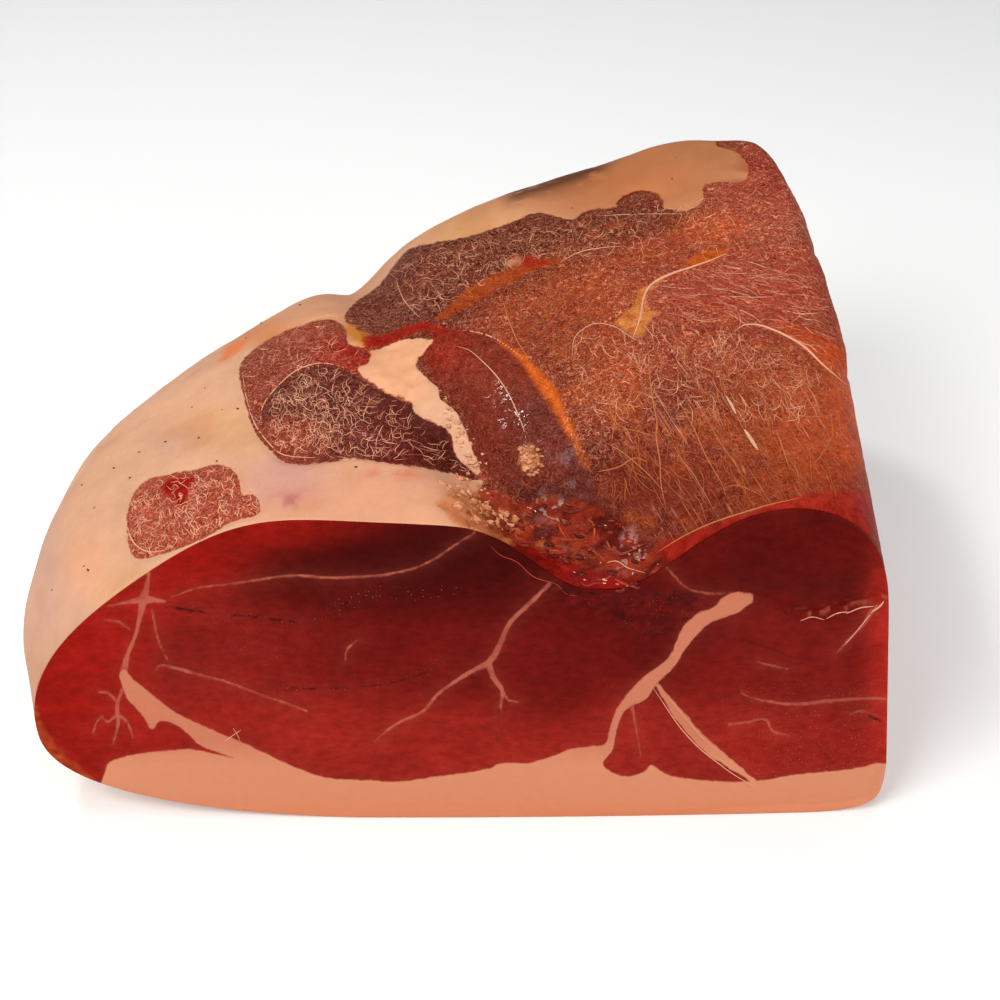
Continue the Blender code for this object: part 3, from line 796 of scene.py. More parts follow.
def paint_cut(points, colours):
    """Colours, distances to the seams, and relief of the cut at its points, from where they're seen."""
    x, y = seen(points)
    tones = named_tones(colours, CUT_TONES)
    maroon, seam_tone = tinted(tones, "lean dark", 0.5), tones["seam"]
    wobble = 1.3 * waver(points, 4.0, 11) + 0.8 * waver(points, 1.5, 12)
    bulk = np.minimum(inside(x, y, CUT_FAT), ribbon(x, y, TENDON, TENDON_WIDTHS) + 0.7 * wobble)
    seams = nearest_line(x, y, CUT_SEAMS)
    cracks = nearest_line(x, y, CUT_CRACKS) + 1.5 * ramp(waver(points, 3.5, 24), -0.2, 0.5)
    near_crack = np.exp(-np.clip(cracks, 0, 99) / 5.0)
    halo = np.exp(-np.clip(np.minimum(bulk, seams), 0, 99) / 7.0)
    right_seam, _, side = along(x, y, smooth(RIGHT_SEAM), 40)
    above = np.where(side > 0, right_seam, -right_seam)
    frayed = np.clip(1 - right_seam / 9, 0, 1) * ramp(waver(points, 1.6, 16), -0.1, 0.5) * ramp(x, 780, 815)
    crumbly = ramp(-inside(x, y, RAGGED_CUT), -8, 6)
    dried = ramp(-ribbon(x, y, DRIED_CORNER, DRIED_CORNER_WIDTHS) - 2 * wobble, -4, 2)
    granular = ramp(-ribbon(x, y, GRANULAR_BAND, GRANULAR_WIDTHS), -4, 3)
    # Colours
    tone = spread(x, y, tones, tones["lean"], 0.12, CUT_SPOTS)
    streaks = waver(points * [0.25, 1.0, 1.4], 3.2, 13)
    uneven = 0.13 * waver(points, 9.0, 14) + 0.04 * streaks + 0.07 * waver(points, 3.0, 15)
    tone = tone * (1 + uneven)[..., None]
    tone = blend(tone, tinted(tones, "low seam", 0.5), 0.12 * halo)
    tone = blend(tone, seam_tone, 0.6 * frayed * (side > 0))
    tone = blend(tone, maroon, 0.3 * crumbly)
    tone = tone * (1 + crumbly * 0.5 * waver(points, 1.7, 17))[..., None]
    tone = blend(tone, tones["dried"], 0.7 * dried * (0.6 + 0.4 * waver(points, 1.8, 18)))
    fat = blend(tones["fat"], seam_tone, 0.55 * ramp(y, 768, 735))
    fat = blend(fat, tones["fat"] * [1.02, 0.93, 0.86], ramp(y, 792, 812))
    # Relief in millimetres
    relief = 0.45 * waver(points, 22.0, 19) + 0.10 * waver(points, 3.0, 20) + 0.12 * ramp(-bulk, -2, 2)
    relief -= 0.22 * ramp(-seams, -1.0, 1.0) + 0.6 * ramp(-cracks, -1.0, 1.0)
    relief -= 2.0 * ramp(above, -1.0, 1.2) * np.exp(-np.clip(above, 0, 99) / 34) * ramp(x, 700, 745)
    relief += crumbly * (0.55 * waver(points, 2.6, 21) + 0.35 * waver(points, 1.2, 22) - 0.5)
    relief += 0.2 * dried * waver(points, 1.4, 23)
    speckle = ramp(x, 690, 780) * ramp(y, 660, 720) + 0.4 * crumbly + 0.9 * near_crack + granular
    return {
        "tone": np.clip(tone, 0, 1),
        "fat_tone": np.clip(fat, 0, 1),
        "fat_edge": bulk,
        "seam_edge": seams,
        "crack_edge": cracks,
        "wet": np.clip(0.05 * crumbly + 0.10 * near_crack, 0, 1),
        "speckle": np.clip(speckle, 0, 1),
        "relief": relief,
        "grain": points * [0.6, 1.0, 1.0],
    }


def fat_colours(points, x, y, tones):
    """The fat's colour: its spots, uneven in two sizes, yellowed in places and mottled on the tongue."""
    fat = spread(x, y, tones, tones["cream"], 0.15, FAT_SPOTS)
    fat = fat * (1 + 0.05 * waver(points, 16, 33) + 0.05 * waver(points, 5, 34))[..., None]
    fat = blend(fat, tones["golden"], 0.25 * ramp(waver(points, 11, 35), 0.15, 0.7))
    mottled = np.clip(swell(x, y, *TONGUE) + swell(x, y, *TONGUE_TIP), 0, 1)
    return fat * (1 + 0.12 * mottled * waver(points, 2.0, 69))[..., None]


def meat_colours(points, x, y, tones, edge, wobble, glossy, middle):
    """The dried meat's colour and the weight of its fibre net, muscle by muscle."""
    lower = ramp(-edge["lower"] - 0.5 * wobble, -2.0, 2.0)
    patch_red = ramp(-edge["patch_red"] - 1.5 * wobble, -1.0, 1.5)
    meat = spread(x, y, tones, tones["brown"], 0.10, MEAT_SPOTS)
    meat = blend(meat, spread(x, y, tones, tinted(tones, "maroon rose", 1 / 2.4), 0.25, GLOSSY_SPOTS), glossy)
    amber_blots = ramp(waver(points, 9, 59) + 0.5 * waver(points, 3, 60), 0.0, 0.8) * ramp(x, 520, 570)
    meat = blend(meat, tones["amber"] * [0.86, 0.95, 0.9], 0.35 * amber_blots * (1 - glossy))
    red_blots = ramp(waver(points, 8, 61) + 0.5 * waver(points, 3, 62), 0.1, 0.8)
    meat = blend(meat, tinted(tones, "maroon rose", 0.5), 0.45 * red_blots)
    muscle = spread(x, y, tones, tinted(tones, "rose maroon", 1 / 1.7), 0.2, MIDDLE_SPOTS)
    meat = blend(meat, muscle, ramp(-edge["middle"], -8, -2))
    meat = blend(meat, spread(x, y, tones, tones["wine"], 0.2, LOWER_SPOTS), lower)
    meat = blend(meat, tones["rose"] * [1.12, 1.1, 1.1], ramp(-edge["patch"], -10, -3))
    meat = blend(meat, tones["red"], patch_red)
    net = 0.76 + 0.3 * waver(points, 14, 36) + 0.16 * ramp(-edge["pink"], -4, 8)
    net = net * (1 - 0.75 * glossy) * (1 - 0.6 * ramp(y, 410, 480) * ramp(x, 560, 600))
    net = (net + 0.4 * swell(x, y, *TANGLED)) * ramp(-edge["top"], -2.0, 2.0)
    net = np.maximum(net, middle * (0.92 - 0.7 * middle * (1 - lower) * swell(x, y, *RED_TIP)))
    net = np.maximum(net * (1 - lower), lower * (0.38 - 0.26 * ramp(x, 340, 400)))
    return meat, np.maximum(net, 0.95 * ramp(-edge["patch"], -4, 4) * (1 - patch_red))


def lay(finish, cover, colour, net_kept=0.0):
    """Lays a colour over the meat's and the fat's, and thins the fibre net under it."""
    for key in ("tone", "fat_tone"):
        finish[key] = blend(finish[key], colour, cover)
    finish["net"] = finish["net"] * (1 - cover * (1 - net_kept))


def lay_lines(finish, x, y, tones, wobble, layers):
    """Lays the colours of seams and edges one after another, each with its own soft uneven border."""
    for strength, path, widths, unevenness, softness, names, factor, net_kept in layers:
        edge = inside(x, y, path) if widths is None else ribbon(x, y, path, widths)
        cover = strength * ramp(-edge - unevenness * wobble, -softness, softness)
        lay(finish, cover, tinted(tones, names, factor), net_kept)


def lay_torn(finish, points, x, y, tones, strip, ragged_fat, ragged_meat):
    """Lays the colours of the raw strip, the torn fat, and the moist meat with painted shadow by the bone's
    hollow.
    """
    lay(finish, 0.95 * strip, tones["strip"] * (1 + 0.35 * waver(points, 2.4, 63))[..., None])
    torn = ramp(waver(points, 2.4, 67) + 0.4 * waver(points, 1.2, 68), -0.1, 0.5)
    lay(finish, 0.85 * ragged_fat, blend(tones["golden"] * [1.2, 1.3, 1.35], tones["torn"], 0.6 * torn))
    scrap = swell(x, y, *STICKING_SCRAP) + 0.15 * waver(points, 2.2, 74)
    lay(finish, 0.85 * ramp(scrap, 0.45, 0.65), tones["scrap"])
    # Painted shadow: near black red patches, placed by noise, in the moist meat of the hollow
    moist = blend(tones["hollow_shadow"], tones["moist"], ramp(waver(points, 2.6, 37), -0.4, 0.4))
    fatty = ramp(waver(points, 2.2, 64), 0.35, 0.6) * ramp(x, 640, 520)
    moist = blend(moist, tones["moist_fat"], 0.7 * fatty)
    lay(finish, 0.9 * ragged_meat * (1 - strip), moist)


def finish_hidden(finish, points, tones, shown, wall):
    """Colours what the camera doesn't see: a lean wall on the right, and fat with some rind elsewhere."""
    depth, height = points[..., 1], points[..., 2]
    redder = ramp(waver(points, 20, 39), -0.4, 0.5)
    lean = blend(tinted(tones, "brown amber", 0.5), tones["rose"] * 0.85, redder)
    gilded = ramp(waver(points, 24, 40) + 0.5 * waver(points, 8, 72) + 0.3 * waver(points, 3, 73), -0.3, 1.2)
    rump = blend(tones["cream"] * [0.96, 0.92, 0.88], tones["golden"] * [1.1, 1.15, 1.15], 0.6 * gilded)
    rind = ramp(waver(points * [1, 1, 1.6], 13, 41) + 0.6 * waver(points, 3, 42), -0.2, 0.7)
    rump = blend(rump, tones["rind"], 0.5 * rind * ramp(height, 60, 80) * ramp(depth, 95, 130))
    finish["fat_tone"] = blend(rump, finish["fat_tone"], shown)
    finish["tone"] = blend(lean, finish["tone"], shown)
    finish["net"] = finish["net"] * shown + (1 - shown) * wall * 0.5


def seen_relief(points, x, y, edge, wobble, glossy, tongue, strip, ragged_fat, ragged_meat):
    """Relief in millimetres of what the camera sees: muscles, furrows, ridges, torn and wrinkled places."""
    relief = 0.8 * ramp(-ribbon(x, y, FAT_ROLL, FAT_ROLL_WIDTHS) - wobble, -5, 5)
    for name, height in MUSCLE_HEIGHTS.items():
        relief += height * ramp(-edge[name], 0, MUSCLE_SHOULDER)
        relief -= FURROW_DEPTH * np.exp(-((edge[name] / FURROW_WIDTH) ** 2))
    ridges = np.sin(dried_grain(points, RIDGE_GRAIN)[..., 1] * RIDGES_PER_MM + 2.4 * waver(points, 9, 46))
    relief += 0.16 * ridges * ramp(-edge["pink"], 2, 12)
    relief += ragged_fat * (1.2 * waver(points, 3.0, 47) + 0.5 * waver(points, 1.4, 48))
    relief += ragged_meat * (0.9 * waver(points, 4.0, 49) + 0.25 * waver(points, 1.8, 50) - 0.4)
    relief += 1.3 * strip - 1.2 * swell(x, y, *DIMPLE)
    relief += tongue * (1.2 + 0.6 * waver(points, 3.5, 65) + 0.3 * waver(points, 1.8, 66))
    wrinkled = glossy * swell(x, y, *WRINKLED)
    return relief + wrinkled * (0.4 * waver(points, 5.0, 51) + 0.14 * waver(points, 2.4, 54))


def paint_outside(points, facing, colours, raw_tone):
    """Colour, fibre net, gloss and relief of the outside, from where the camera sees its points."""
    x, y = seen(points)
    tones = named_tones(colours, OUTSIDE_TONES | {"red": raw_tone})
    edge = {name: inside(x, y, outline) for name, outline in OUTLINES.items()}
    wobble = 1.6 * waver(points, 4.5, 31) + 1.0 * waver(points, 1.8, 32)
    shown = ramp(facing, -0.10, 0.06)
    uneven = 12 * waver(points, 26, 70) + 3 * waver(points, 7, 71)
    wall = ramp(points[..., 2] + 0.25 * uneven, 13, 17) * ramp(points[..., 0], 78, 96)
    wall = wall * ramp(points[..., 1] + uneven + 0.16 * points[..., 2], 198, 186)
    meat_cover, middle = ramp(-edge["top"], -2.0, 2.0), ramp(-edge["middle"], -2.5, 2.5)
    glossy = ramp(-edge["glossy"] - wobble, -1.5, 1.5)
    strip = ramp(-ribbon(x, y, RED_STRIP, RED_STRIP_WIDTHS) - wobble, -3, 3)
    ragged_fat = ramp(-edge["ragged_fat"] - 2.5 * wobble, -4, 3)
    ragged_meat = ramp(-edge["ragged_meat"] - 2.0 * wobble, -6, 4)
    # Colours
    meat, net = meat_colours(points, x, y, tones, edge, wobble, glossy, middle)
    finish = {"tone": meat, "fat_tone": fat_colours(points, x, y, tones), "net": net}
    lay_lines(finish, x, y, tones, wobble, SEAM_LAYERS)
    rim = ramp(-edge["rim"] - 0.5 * wobble, -1.5, 1.5)
    lay(finish, 0.95 * rim, blend(tones["rim"], tones["rim_top"], ramp(y, 516, 496)))
    lay_torn(finish, points, x, y, tones, strip, ragged_fat, ragged_meat)
    raw = swell(x, y, *TOP_RIGHT) * ramp(waver(points, 5, 38), -0.5, 0.2)
    lay(finish, 0.8 * raw, tones["red"] * [0.75, 1.2, 1.6], 0.6)
    lay_lines(finish, x, y, tones, wobble, TOP_LAYERS)
    patchy = ramp(waver(points, 4, 52) + 0.5 * waver(points, 1.6, 53), -0.5, 0.5)
    for strength, centre, radii, name in STAINS:
        lay(finish, strength * patchy * swell(x, y, centre, radii), tones[name])
    finish_hidden(finish, points, tones, shown, wall)
    skin = ramp(facing, 0.46, 0.22) * ramp(x, 496, 520) * ramp(x, 625, 590) * ramp(y, 240, 215)
    skin = skin * ramp(waver(points, 5, 57) + 0.5 * waver(points, 1.6, 58), -0.75, -0.2)
    finish["fat_tone"] = blend(finish["fat_tone"], tones["skin"], 0.9 * skin)
    # Masks
    meat_edge = np.minimum.reduce([edge[name] for name in ("top", "middle", "patch", "small")])
    combed = np.maximum(ramp(-edge["pink"], 0, 14), ramp(y, 350, 430) * ramp(x, 580, 640))
    patches = ramp(waver(points, 3.4, 55) + 0.5 * waver(points, 1.6, 56), -0.05, 0.3)
    shiny = glossy * np.clip(0.8 * swell(x, y, *GLINTS) + 0.6 * swell(x, y, *LOW_GLINTS), 0, 1)
    wet = np.clip(patches * (shiny + 0.35 * ragged_meat * (1 - strip)) + 0.04 * strip, 0, 1)
    # Relief in millimetres
    tongue = (1 - meat_cover) * (1 - middle) * swell(x, y, *TONGUE)
    seen_only = seen_relief(points, x, y, edge, wobble, glossy, tongue, strip, ragged_fat, ragged_meat)
    meat_all = np.clip(meat_cover * shown + (1 - shown) * wall, 0, 1)
    lumps = 0.55 * waver(points, 19, 43) + 0.16 * waver(points, 6, 44)
    relief = lumps + 0.14 * meat_all * waver(points, 2.2, 45)
    return {
        "tone": np.clip(finish["tone"], 0, 1),
        "fat_tone": np.clip(finish["fat_tone"], 0, 1),
        "meat_edge": np.clip(meat_edge, -30, 30) * shown + (30 - 60 * wall) * (1 - shown),
        "long": combed * shown + (1 - shown),
        "net": np.clip(finish["net"], 0, 1),
        "wet": wet * shown,
        "relief": relief + seen_only * shown,
        "grain": dried_grain(points, np.where(edge["pink"] < 0, PINK_GRAIN, MEAT_GRAIN)),
    }


# Meshes


def grid_faces(rows, columns, wrapped):
    """Quads between neighbours of a grid of points, numbered row by row, and each quad's row and column."""
    i, j = np.meshgrid(np.arange(rows - 1), np.arange(columns if wrapped else columns - 1), indexing="ij")
    k = (j + 1) % columns
    quads = np.stack([i * columns + j, i * columns + k, (i + 1) * columns + k, (i + 1) * columns + j],
                     axis=-1)
    return quads.reshape(-1, 4), i.reshape(-1), j.reshape(-1)


def grid_uv(i, j, rows, columns, margin):
    """Texture coordinates of the corners of a grid's quads, laid out as the grid inside a margin."""
    across, up = np.stack([j, j + 1, j + 1, j], axis=-1), np.stack([i, i, i + 1, i + 1], axis=-1)
    return (margin + (1 - 2 * margin) * np.stack([across / columns, up / rows], axis=-1)).reshape(-1, 2)


def surface_normals(grid, wrapped):
    """Unit normals of a grid: the cross product of its slopes along columns and along rows."""
    if wrapped:
        across = np.roll(grid, -1, axis=1) - np.roll(grid, 1, axis=1)
    else:
        across = np.gradient(grid, axis=1)
    return unit(np.cross(across, np.gradient(grid, axis=0)))


def new_piece(name, points, quads, triangles, fields, material, uv=None):
    """A smooth shaded mesh object from drawn points, quads, triangles and fields over the points."""
    mesh = bpy.data.meshes.new(name)
    corners = np.concatenate([np.ravel(quads), np.ravel(triangles)]).astype(np.int32)
    sizes = np.concatenate([np.full(len(quads), 4), np.full(len(triangles), 3)])
    starts = np.concatenate([[0], np.cumsum(sizes)[:-1]]).astype(np.int32)
    mesh.vertices.add(len(points))
    place = np.clip(placed(points), CAD_BOX[0], CAD_BOX[1])
    mesh.vertices.foreach_set("co", place.astype(np.float32).ravel())
    mesh.loops.add(len(corners))
    mesh.loops.foreach_set("vertex_index", corners)
    mesh.polygons.add(len(sizes))
    mesh.polygons.foreach_set("loop_start", starts)
    mesh.update(calc_edges=True)
    mesh.shade_smooth()
    for key, values in fields.items():
        if key.endswith("tone"):
            kind, slot = "FLOAT_COLOR", "color"
            values = np.concatenate([values, np.ones((len(values), 1))], axis=1)
        else:
            kind, slot = ("FLOAT_VECTOR", "vector") if values.ndim == 2 else ("FLOAT", "value")
        made = mesh.attributes.new(key, kind, "POINT")
        made.data.foreach_set(slot, values.astype(np.float32).ravel())
    if uv is not None:
        layer = mesh.uv_layers.new(name="OFBake")
        layer.uv.foreach_set("vector", uv.astype(np.float32).ravel())
    if mesh.validate():
        raise RuntimeError(name + " has a broken mesh")
    mesh.materials.append(material)
    piece = linked(bpy.context, name, mesh)
    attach(piece, "root")
    return piece


def drawn_in(outline, amount):
    """A closed outline moved in by an amount, at right angles to its course. It runs clockwise."""
    course = unit(np.roll(outline, -1, axis=0) - np.roll(outline, 1, axis=0))
    return outline + amount * np.stack([course[:, 1], -course[:, 0]], axis=1)


def outside_grid():
    """The outside's rings from just behind the cut to the rump's end, and their columns' count."""
    share = np.linspace(0, 1, ROWS)
    eased = EVEN_SHARE * share + (1 - EVEN_SHARE) * np.sin(share * pi / 2)
    depths = BEHIND_CUT + (DEPTH - BEHIND_CUT) * eased
    return sections(np.minimum(depths, DEPTH), OVER_COLUMNS, UNDER_COLUMNS)


def closed_ends(grid):
    """Adds rings that turn in behind the cut and round the rump's end."""
    first, last = grid[0], grid[-1]
    front = []
    for inset, back in FRONT_RINGS:
        ring = first.copy()
        ring[:, [0, 2]] = drawn_in(first[:, [0, 2]], inset)
        ring[:, 1] += back
        front.append(ring)
    spine = last.copy()
    spine[:, 0] = last[:, 0].mean()
    spine[:, 2] = np.clip(last[:, 2], last[:, 2].min() + 5, last[:, 2].max() - 5)
    back = []
    for share in END_RINGS:
        ring = spine + (last - spine) * share
        ring[:, 1] += 1.0 - share**2
        back.append(ring)
    return np.concatenate([np.array(front), grid, np.array(back)])


def fan(ring, centre_index, inward):
    """Triangles from a closed ring of point numbers to one point."""
    after = np.roll(ring, -1)
    order = (after, ring) if inward else (ring, after)
    return np.stack([order[0], order[1], np.full(len(ring), centre_index)], axis=-1)


def low_middle(ring):
    """A point in the plane of a ring from which all of the ring is seen, in spite of its notch."""
    return np.array([ring[:, 0].mean(), ring[:, 1].mean(), 0.4 * ring[:, 2].max()])


def stretched(bottom, top, left, right):
    """A surface between four curves: the two straight blends of facing curves less the corners' blend."""
    u = np.linspace(0, 1, len(bottom))[None, :, None]
    v = np.linspace(0, 1, len(left))[:, None, None]
    ruled = (1 - v) * bottom[None] + v * top[None] + (1 - u) * left[:, None] + u * right[:, None]
    corners = (1 - u) * ((1 - v) * bottom[0] + v * top[0]) + u * ((1 - v) * bottom[-1] + v * top[-1])
    return ruled - corners


def cut_grid():
    """The cut's face as rows of points from its bottom up, stretched between the sides of its outline."""
    ring = sections([0.0], OUTLINE_OVER, OUTLINE_UNDER)[0][:, [0, 2]]
    lengths = travelled_along(np.concatenate([ring, ring[:1]]))
    ring = drawn_in(ring, CUT_INSET)
    loop = np.concatenate([ring, ring[:1]])
    over, under = ring[:OUTLINE_OVER], ring[OUTLINE_OVER:]
    upper_left = int(np.argmin(np.abs(over[:, 0] - CUT_CORNER_X)))
    upper_right = int(np.argmax(over[:, 0] + over[:, 1]))
    lower_right = OUTLINE_OVER + int(np.argmax(under[:, 0] - under[:, 1]))
    lower_left = OUTLINE_OVER + int(np.argmin(np.abs(under[:, 0] - CUT_CORNER_X)))

    def side(start, end, count):
        """A stretch of the outline with count points."""
        return taken_at(np.linspace(lengths[start], lengths[end], count), lengths, loop)

    top = side(upper_left, upper_right, CUT_COLUMNS)
    right = side(upper_right, lower_right, CUT_ROWS)[::-1]
    bottom = side(lower_right, lower_left, CUT_COLUMNS)[::-1]
    first = side(lower_left, len(ring), CUT_ROWS // 2)
    second = side(0, upper_left, CUT_ROWS - CUT_ROWS // 2 + 1)[1:]
    left = respaced(np.concatenate([first, second]), CUT_ROWS)
    flat = stretched(bottom, top, left, right)
    x, z = flat[..., 0], flat[..., 1]
    return np.stack([x, -bow(x, 0.0) - swell(x, z, *PROUD), z], axis=-1)


def build_outside(context):
    """The dried outside: the solid's sections, with relief along their normals."""
    ham = context.scene.cured_ham
    grid = outside_grid()
    normal = surface_normals(grid, wrapped=True)
    facing = (normal * unit(CAMERA_AT - grid)).sum(axis=-1)
    fields = paint_outside(grid, facing, ham.outside, ham.cut.bright)
    fade = ramp(grid[..., 1] + bow(grid[..., 0], 0.0), 0.3, 7.0) * ramp(grid[..., 2], 0.2, 3.0)
    fade = fade * ramp(DEPTH - grid[..., 1], 0, 6)
    relief = fields.pop("relief") * fade
    grid = grid + relief[..., None] * normal
    grid[..., 2] = np.maximum(grid[..., 2], 0)
    SHAPED["outside"] = (grid, surface_normals(grid, wrapped=True))
    closed = closed_ends(grid)
    rows, columns = closed.shape[:2]
    order = np.clip(np.arange(rows) - len(FRONT_RINGS), 0, len(grid) - 1)
    fields = {key: values[order].reshape((-1,) + values.shape[2:]) for key, values in fields.items()}
    points = closed.reshape(-1, 3)
    ends = np.array([low_middle(closed[0]), closed[-1].mean(axis=0)])
    points = np.concatenate([points, ends])
    fields = {key: np.concatenate([values, values[:1], values[-1:]]) for key, values in fields.items()}
    quads, i, j = grid_faces(rows, columns, wrapped=True)
    front = fan(np.arange(columns), len(points) - 2, inward=True)
    back = fan(np.arange(columns) + (rows - 1) * columns, len(points) - 1, inward=False)
    uv = grid_uv(i, j, rows - 1, columns, 0.01)
    end_uv = np.concatenate([np.full((3 * len(front), 2), 0.004), np.full((3 * len(back), 2), 0.996)])
    piece = new_piece(
        "outside", points, quads, np.concatenate([front, back]), fields, outside_material(ham.outside),
        np.concatenate([uv, end_uv]),
    )
    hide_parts(NODE)
    return piece


def build_cut(context):
    """The cut: a thin closed slab whose face is stretched between the sides of the cut's outline."""
    ham = context.scene.cured_ham
    grid = cut_grid()
    normal = surface_normals(grid, wrapped=False)
    fields = paint_cut(grid, ham.cut)
    u = np.minimum(np.arange(CUT_COLUMNS), np.arange(CUT_COLUMNS)[::-1])[None, :]
    v = np.minimum(np.arange(CUT_ROWS), np.arange(CUT_ROWS)[::-1])[:, None]
    relief = fields.pop("relief") * ramp(np.minimum(u, v) * 1.0, 0, 6)
    grid = grid + relief[..., None] * normal
    SHAPED["cut"] = (grid, surface_normals(grid, wrapped=False))
    number = np.arange(CUT_ROWS * CUT_COLUMNS).reshape(CUT_ROWS, CUT_COLUMNS)
    border = np.concatenate([number[0, :-1], number[:-1, -1], number[-1, :0:-1], number[:0:-1, 0]])
    points = grid.reshape(-1, 3)
    rim = points[border]
    rings = []
    for outset, back in LIP_RINGS:
        ring = rim.copy()
        ring[:, [0, 2]] = drawn_in(rim[:, [0, 2]][::-1], -outset)[::-1]
        ring[:, 1] += back
        ring[:, 2] = np.maximum(ring[:, 2], 0)
        rings.append(ring)
    quads, i, j = grid_faces(CUT_ROWS, CUT_COLUMNS, wrapped=False)
    count = len(border)
    first = len(points)
    loops = np.concatenate([border[None], first + np.arange(4 * count).reshape(4, count)])
    after = np.roll(loops, -1, axis=1)
    lip = np.stack([loops[:-1], loops[1:], after[1:], after[:-1]], axis=-1).reshape(-1, 4)
    points = np.concatenate([points] + rings + [low_middle(rings[-1])[None]])
    fields = {
        key: np.concatenate([flat] + [flat[border]] * 4 + [flat[:1]])
        for key, flat in ((key, values.reshape((-1,) + values.shape[2:])) for key, values in fields.items())
    }
    back = fan(loops[-1], len(points) - 1, inward=True)
    uv = grid_uv(i, j, CUT_ROWS - 1, CUT_COLUMNS - 1, 0.02)
    flat_uv = np.stack([np.tile(np.linspace(0, 1, CUT_COLUMNS), CUT_ROWS),
                        np.repeat(np.linspace(0, 1, CUT_ROWS), CUT_COLUMNS)], axis=-1)
    rim_uv = 0.02 + 0.96 * flat_uv[border]
    away = rim_uv - 0.5
    ring_uv = np.array([0.5 + away * (1 + 0.008 * k) for k in range(5)])
    after_uv = np.roll(ring_uv, -1, axis=1)
    lip_uv = np.stack([ring_uv[:-1], ring_uv[1:], after_uv[1:], after_uv[:-1]], axis=2).reshape(-1, 2)
    back_uv = np.full((3 * count, 2), 0.002)
    return new_piece(
        "cut", points, np.concatenate([quads, lip]), back, fields, cut_material(ham.cut),
        np.concatenate([uv, lip_uv, back_uv]),
    )


def landing(surface, pixels):
    """Points and normals of a shaped grid where the camera sees pixels, and how far off they land.

    The nearest grid point is looked up, then moved along the grid by what its neighbours' pixels say.
    """
    grid, normal = SHAPED[surface]
    right, down = seen(grid)
    row, column = np.round(down).astype(int), np.round(right).astype(int)
    shown = (normal * (CAMERA_AT - grid)).sum(axis=-1) > 0
    shown &= (row >= 0) & (row < PICTURE) & (column >= 0) & (column < PICTURE)
    lookup = np.full((PICTURE, PICTURE), -1)
    lookup[row[shown], column[shown]] = np.flatnonzero(shown)
    for _ in range(8):
        for axis, shift in ((0, 1), (0, -1), (1, 1), (1, -1)):
            lookup = np.where(lookup < 0, np.roll(lookup, shift, axis=axis), lookup)
    u, v = pixels[..., 0], pixels[..., 1]
    found = lookup[tuple(np.clip(np.round(pixel).astype(int), 0, PICTURE - 1) for pixel in (v, u))]
    i, j = np.divmod(np.maximum(found, 0), grid.shape[1])
    i, j = np.clip(i, 1, grid.shape[0] - 2), np.clip(j, 1, grid.shape[1] - 2)
    across = [(a[i, j + 1] - a[i, j - 1]) / 2 for a in (right, down, grid)]
    back = [(a[i + 1, j] - a[i - 1, j]) / 2 for a in (right, down, grid)]
    off_u, off_v = u - right[i, j], v - down[i, j]
    area = across[0] * back[1] - across[1] * back[0]
    area = np.where(np.abs(area) < 0.05, 0.05, area)
    steps_across = np.clip((off_u * back[1] - off_v * back[0]) / area, -3, 3)[..., None]
    steps_back = np.clip((across[0] * off_v - across[1] * off_u) / area, -3, 3)[..., None]
    points = grid[i, j] + steps_across * across[2] + steps_back * back[2]
    at_u, at_v = seen(points)
    return points, normal[i, j], np.hypot(at_u - u, at_v - v) + 99.0 * (found < 0)


def wandering(generator, outline, count, heading, spread_degrees, length, curl, samples):
    """Random pixel paths that start inside an outline: each bends evenly and waves once or twice."""
    low, high = np.min(outline, axis=0), np.max(outline, axis=0)
    starts = generator.uniform(low, high, (count * 6, 2))
    starts = starts[inside(starts[:, 0], starts[:, 1], outline) < -3][:count]
    number = len(starts)
    t = np.linspace(0, 1, samples)[None, :]
    headings = np.radians(heading) + np.radians(spread_degrees) * generator.uniform(-1, 1, (number, 1))
    bend = curl * generator.uniform(-1, 1, (number, 1))
    wave = 0.35 * curl * generator.uniform(-1, 1, (number, 1))
    phase, waves = generator.uniform(0, 2 * pi, (number, 1)), generator.uniform(0.6, 1.8, (number, 1))
    course = headings + bend * t + wave * np.sin(2 * pi * waves * t + phase)
    step = length * generator.uniform(0.55, 1.3, (number, 1)) / (samples - 1)
    moves = np.stack([step * np.cos(course), step * np.sin(course)], axis=-1)
    return starts[:, None] + np.cumsum(moves, axis=1) - moves.mean(axis=1, keepdims=True) * samples / 2


def build_strands(name, surface, paths, widths, tones, rise, material):
    """Thin strands along pixel paths on a surface: a flat-bottomed profile that tapers to both ends."""
    points, normals, miss = landing(surface, paths)
    reach = np.linalg.norm(np.diff(points, axis=1), axis=-1).max(axis=1)
    kept = (miss.max(axis=1) < NEAR_PIXELS) & (reach < LONGEST_STEP)
    points, normals, widths, tones = points[kept], normals[kept], widths[kept], tones[kept]
    side = unit(np.cross(np.gradient(points, axis=1), normals))
    t = np.linspace(0, 1, points.shape[1])
    taper = np.sqrt(np.clip(np.sin(pi * t), 0.02, 1))[None, :, None]
    wide = widths[:, None, None] * MM_PER_PIXEL * taper
    high = np.clip(wide * rise, 0, 0.6)
    rings = [points + wide * across * side + high * up * normals for across, up in STRAND_PROFILE]
    rings = np.stack(rings, axis=2)
    count, samples, corners = rings.shape[:3]
    first = np.arange(count)[:, None] * samples * corners
    quads = grid_faces(samples, corners, wrapped=True)[0]
    quads = (first[..., None] + quads[None]).reshape(-1, 4)
    caps = np.concatenate([first + np.arange(corners)[::-1],
                           first + (samples - 1) * corners + np.arange(corners)])
    fields = {"tone": np.repeat(tones, samples * corners, axis=0)}
    faces = np.concatenate([quads, caps])
    return new_piece(name, rings.reshape(-1, 3), faces, np.zeros((0, 3)), fields, material)


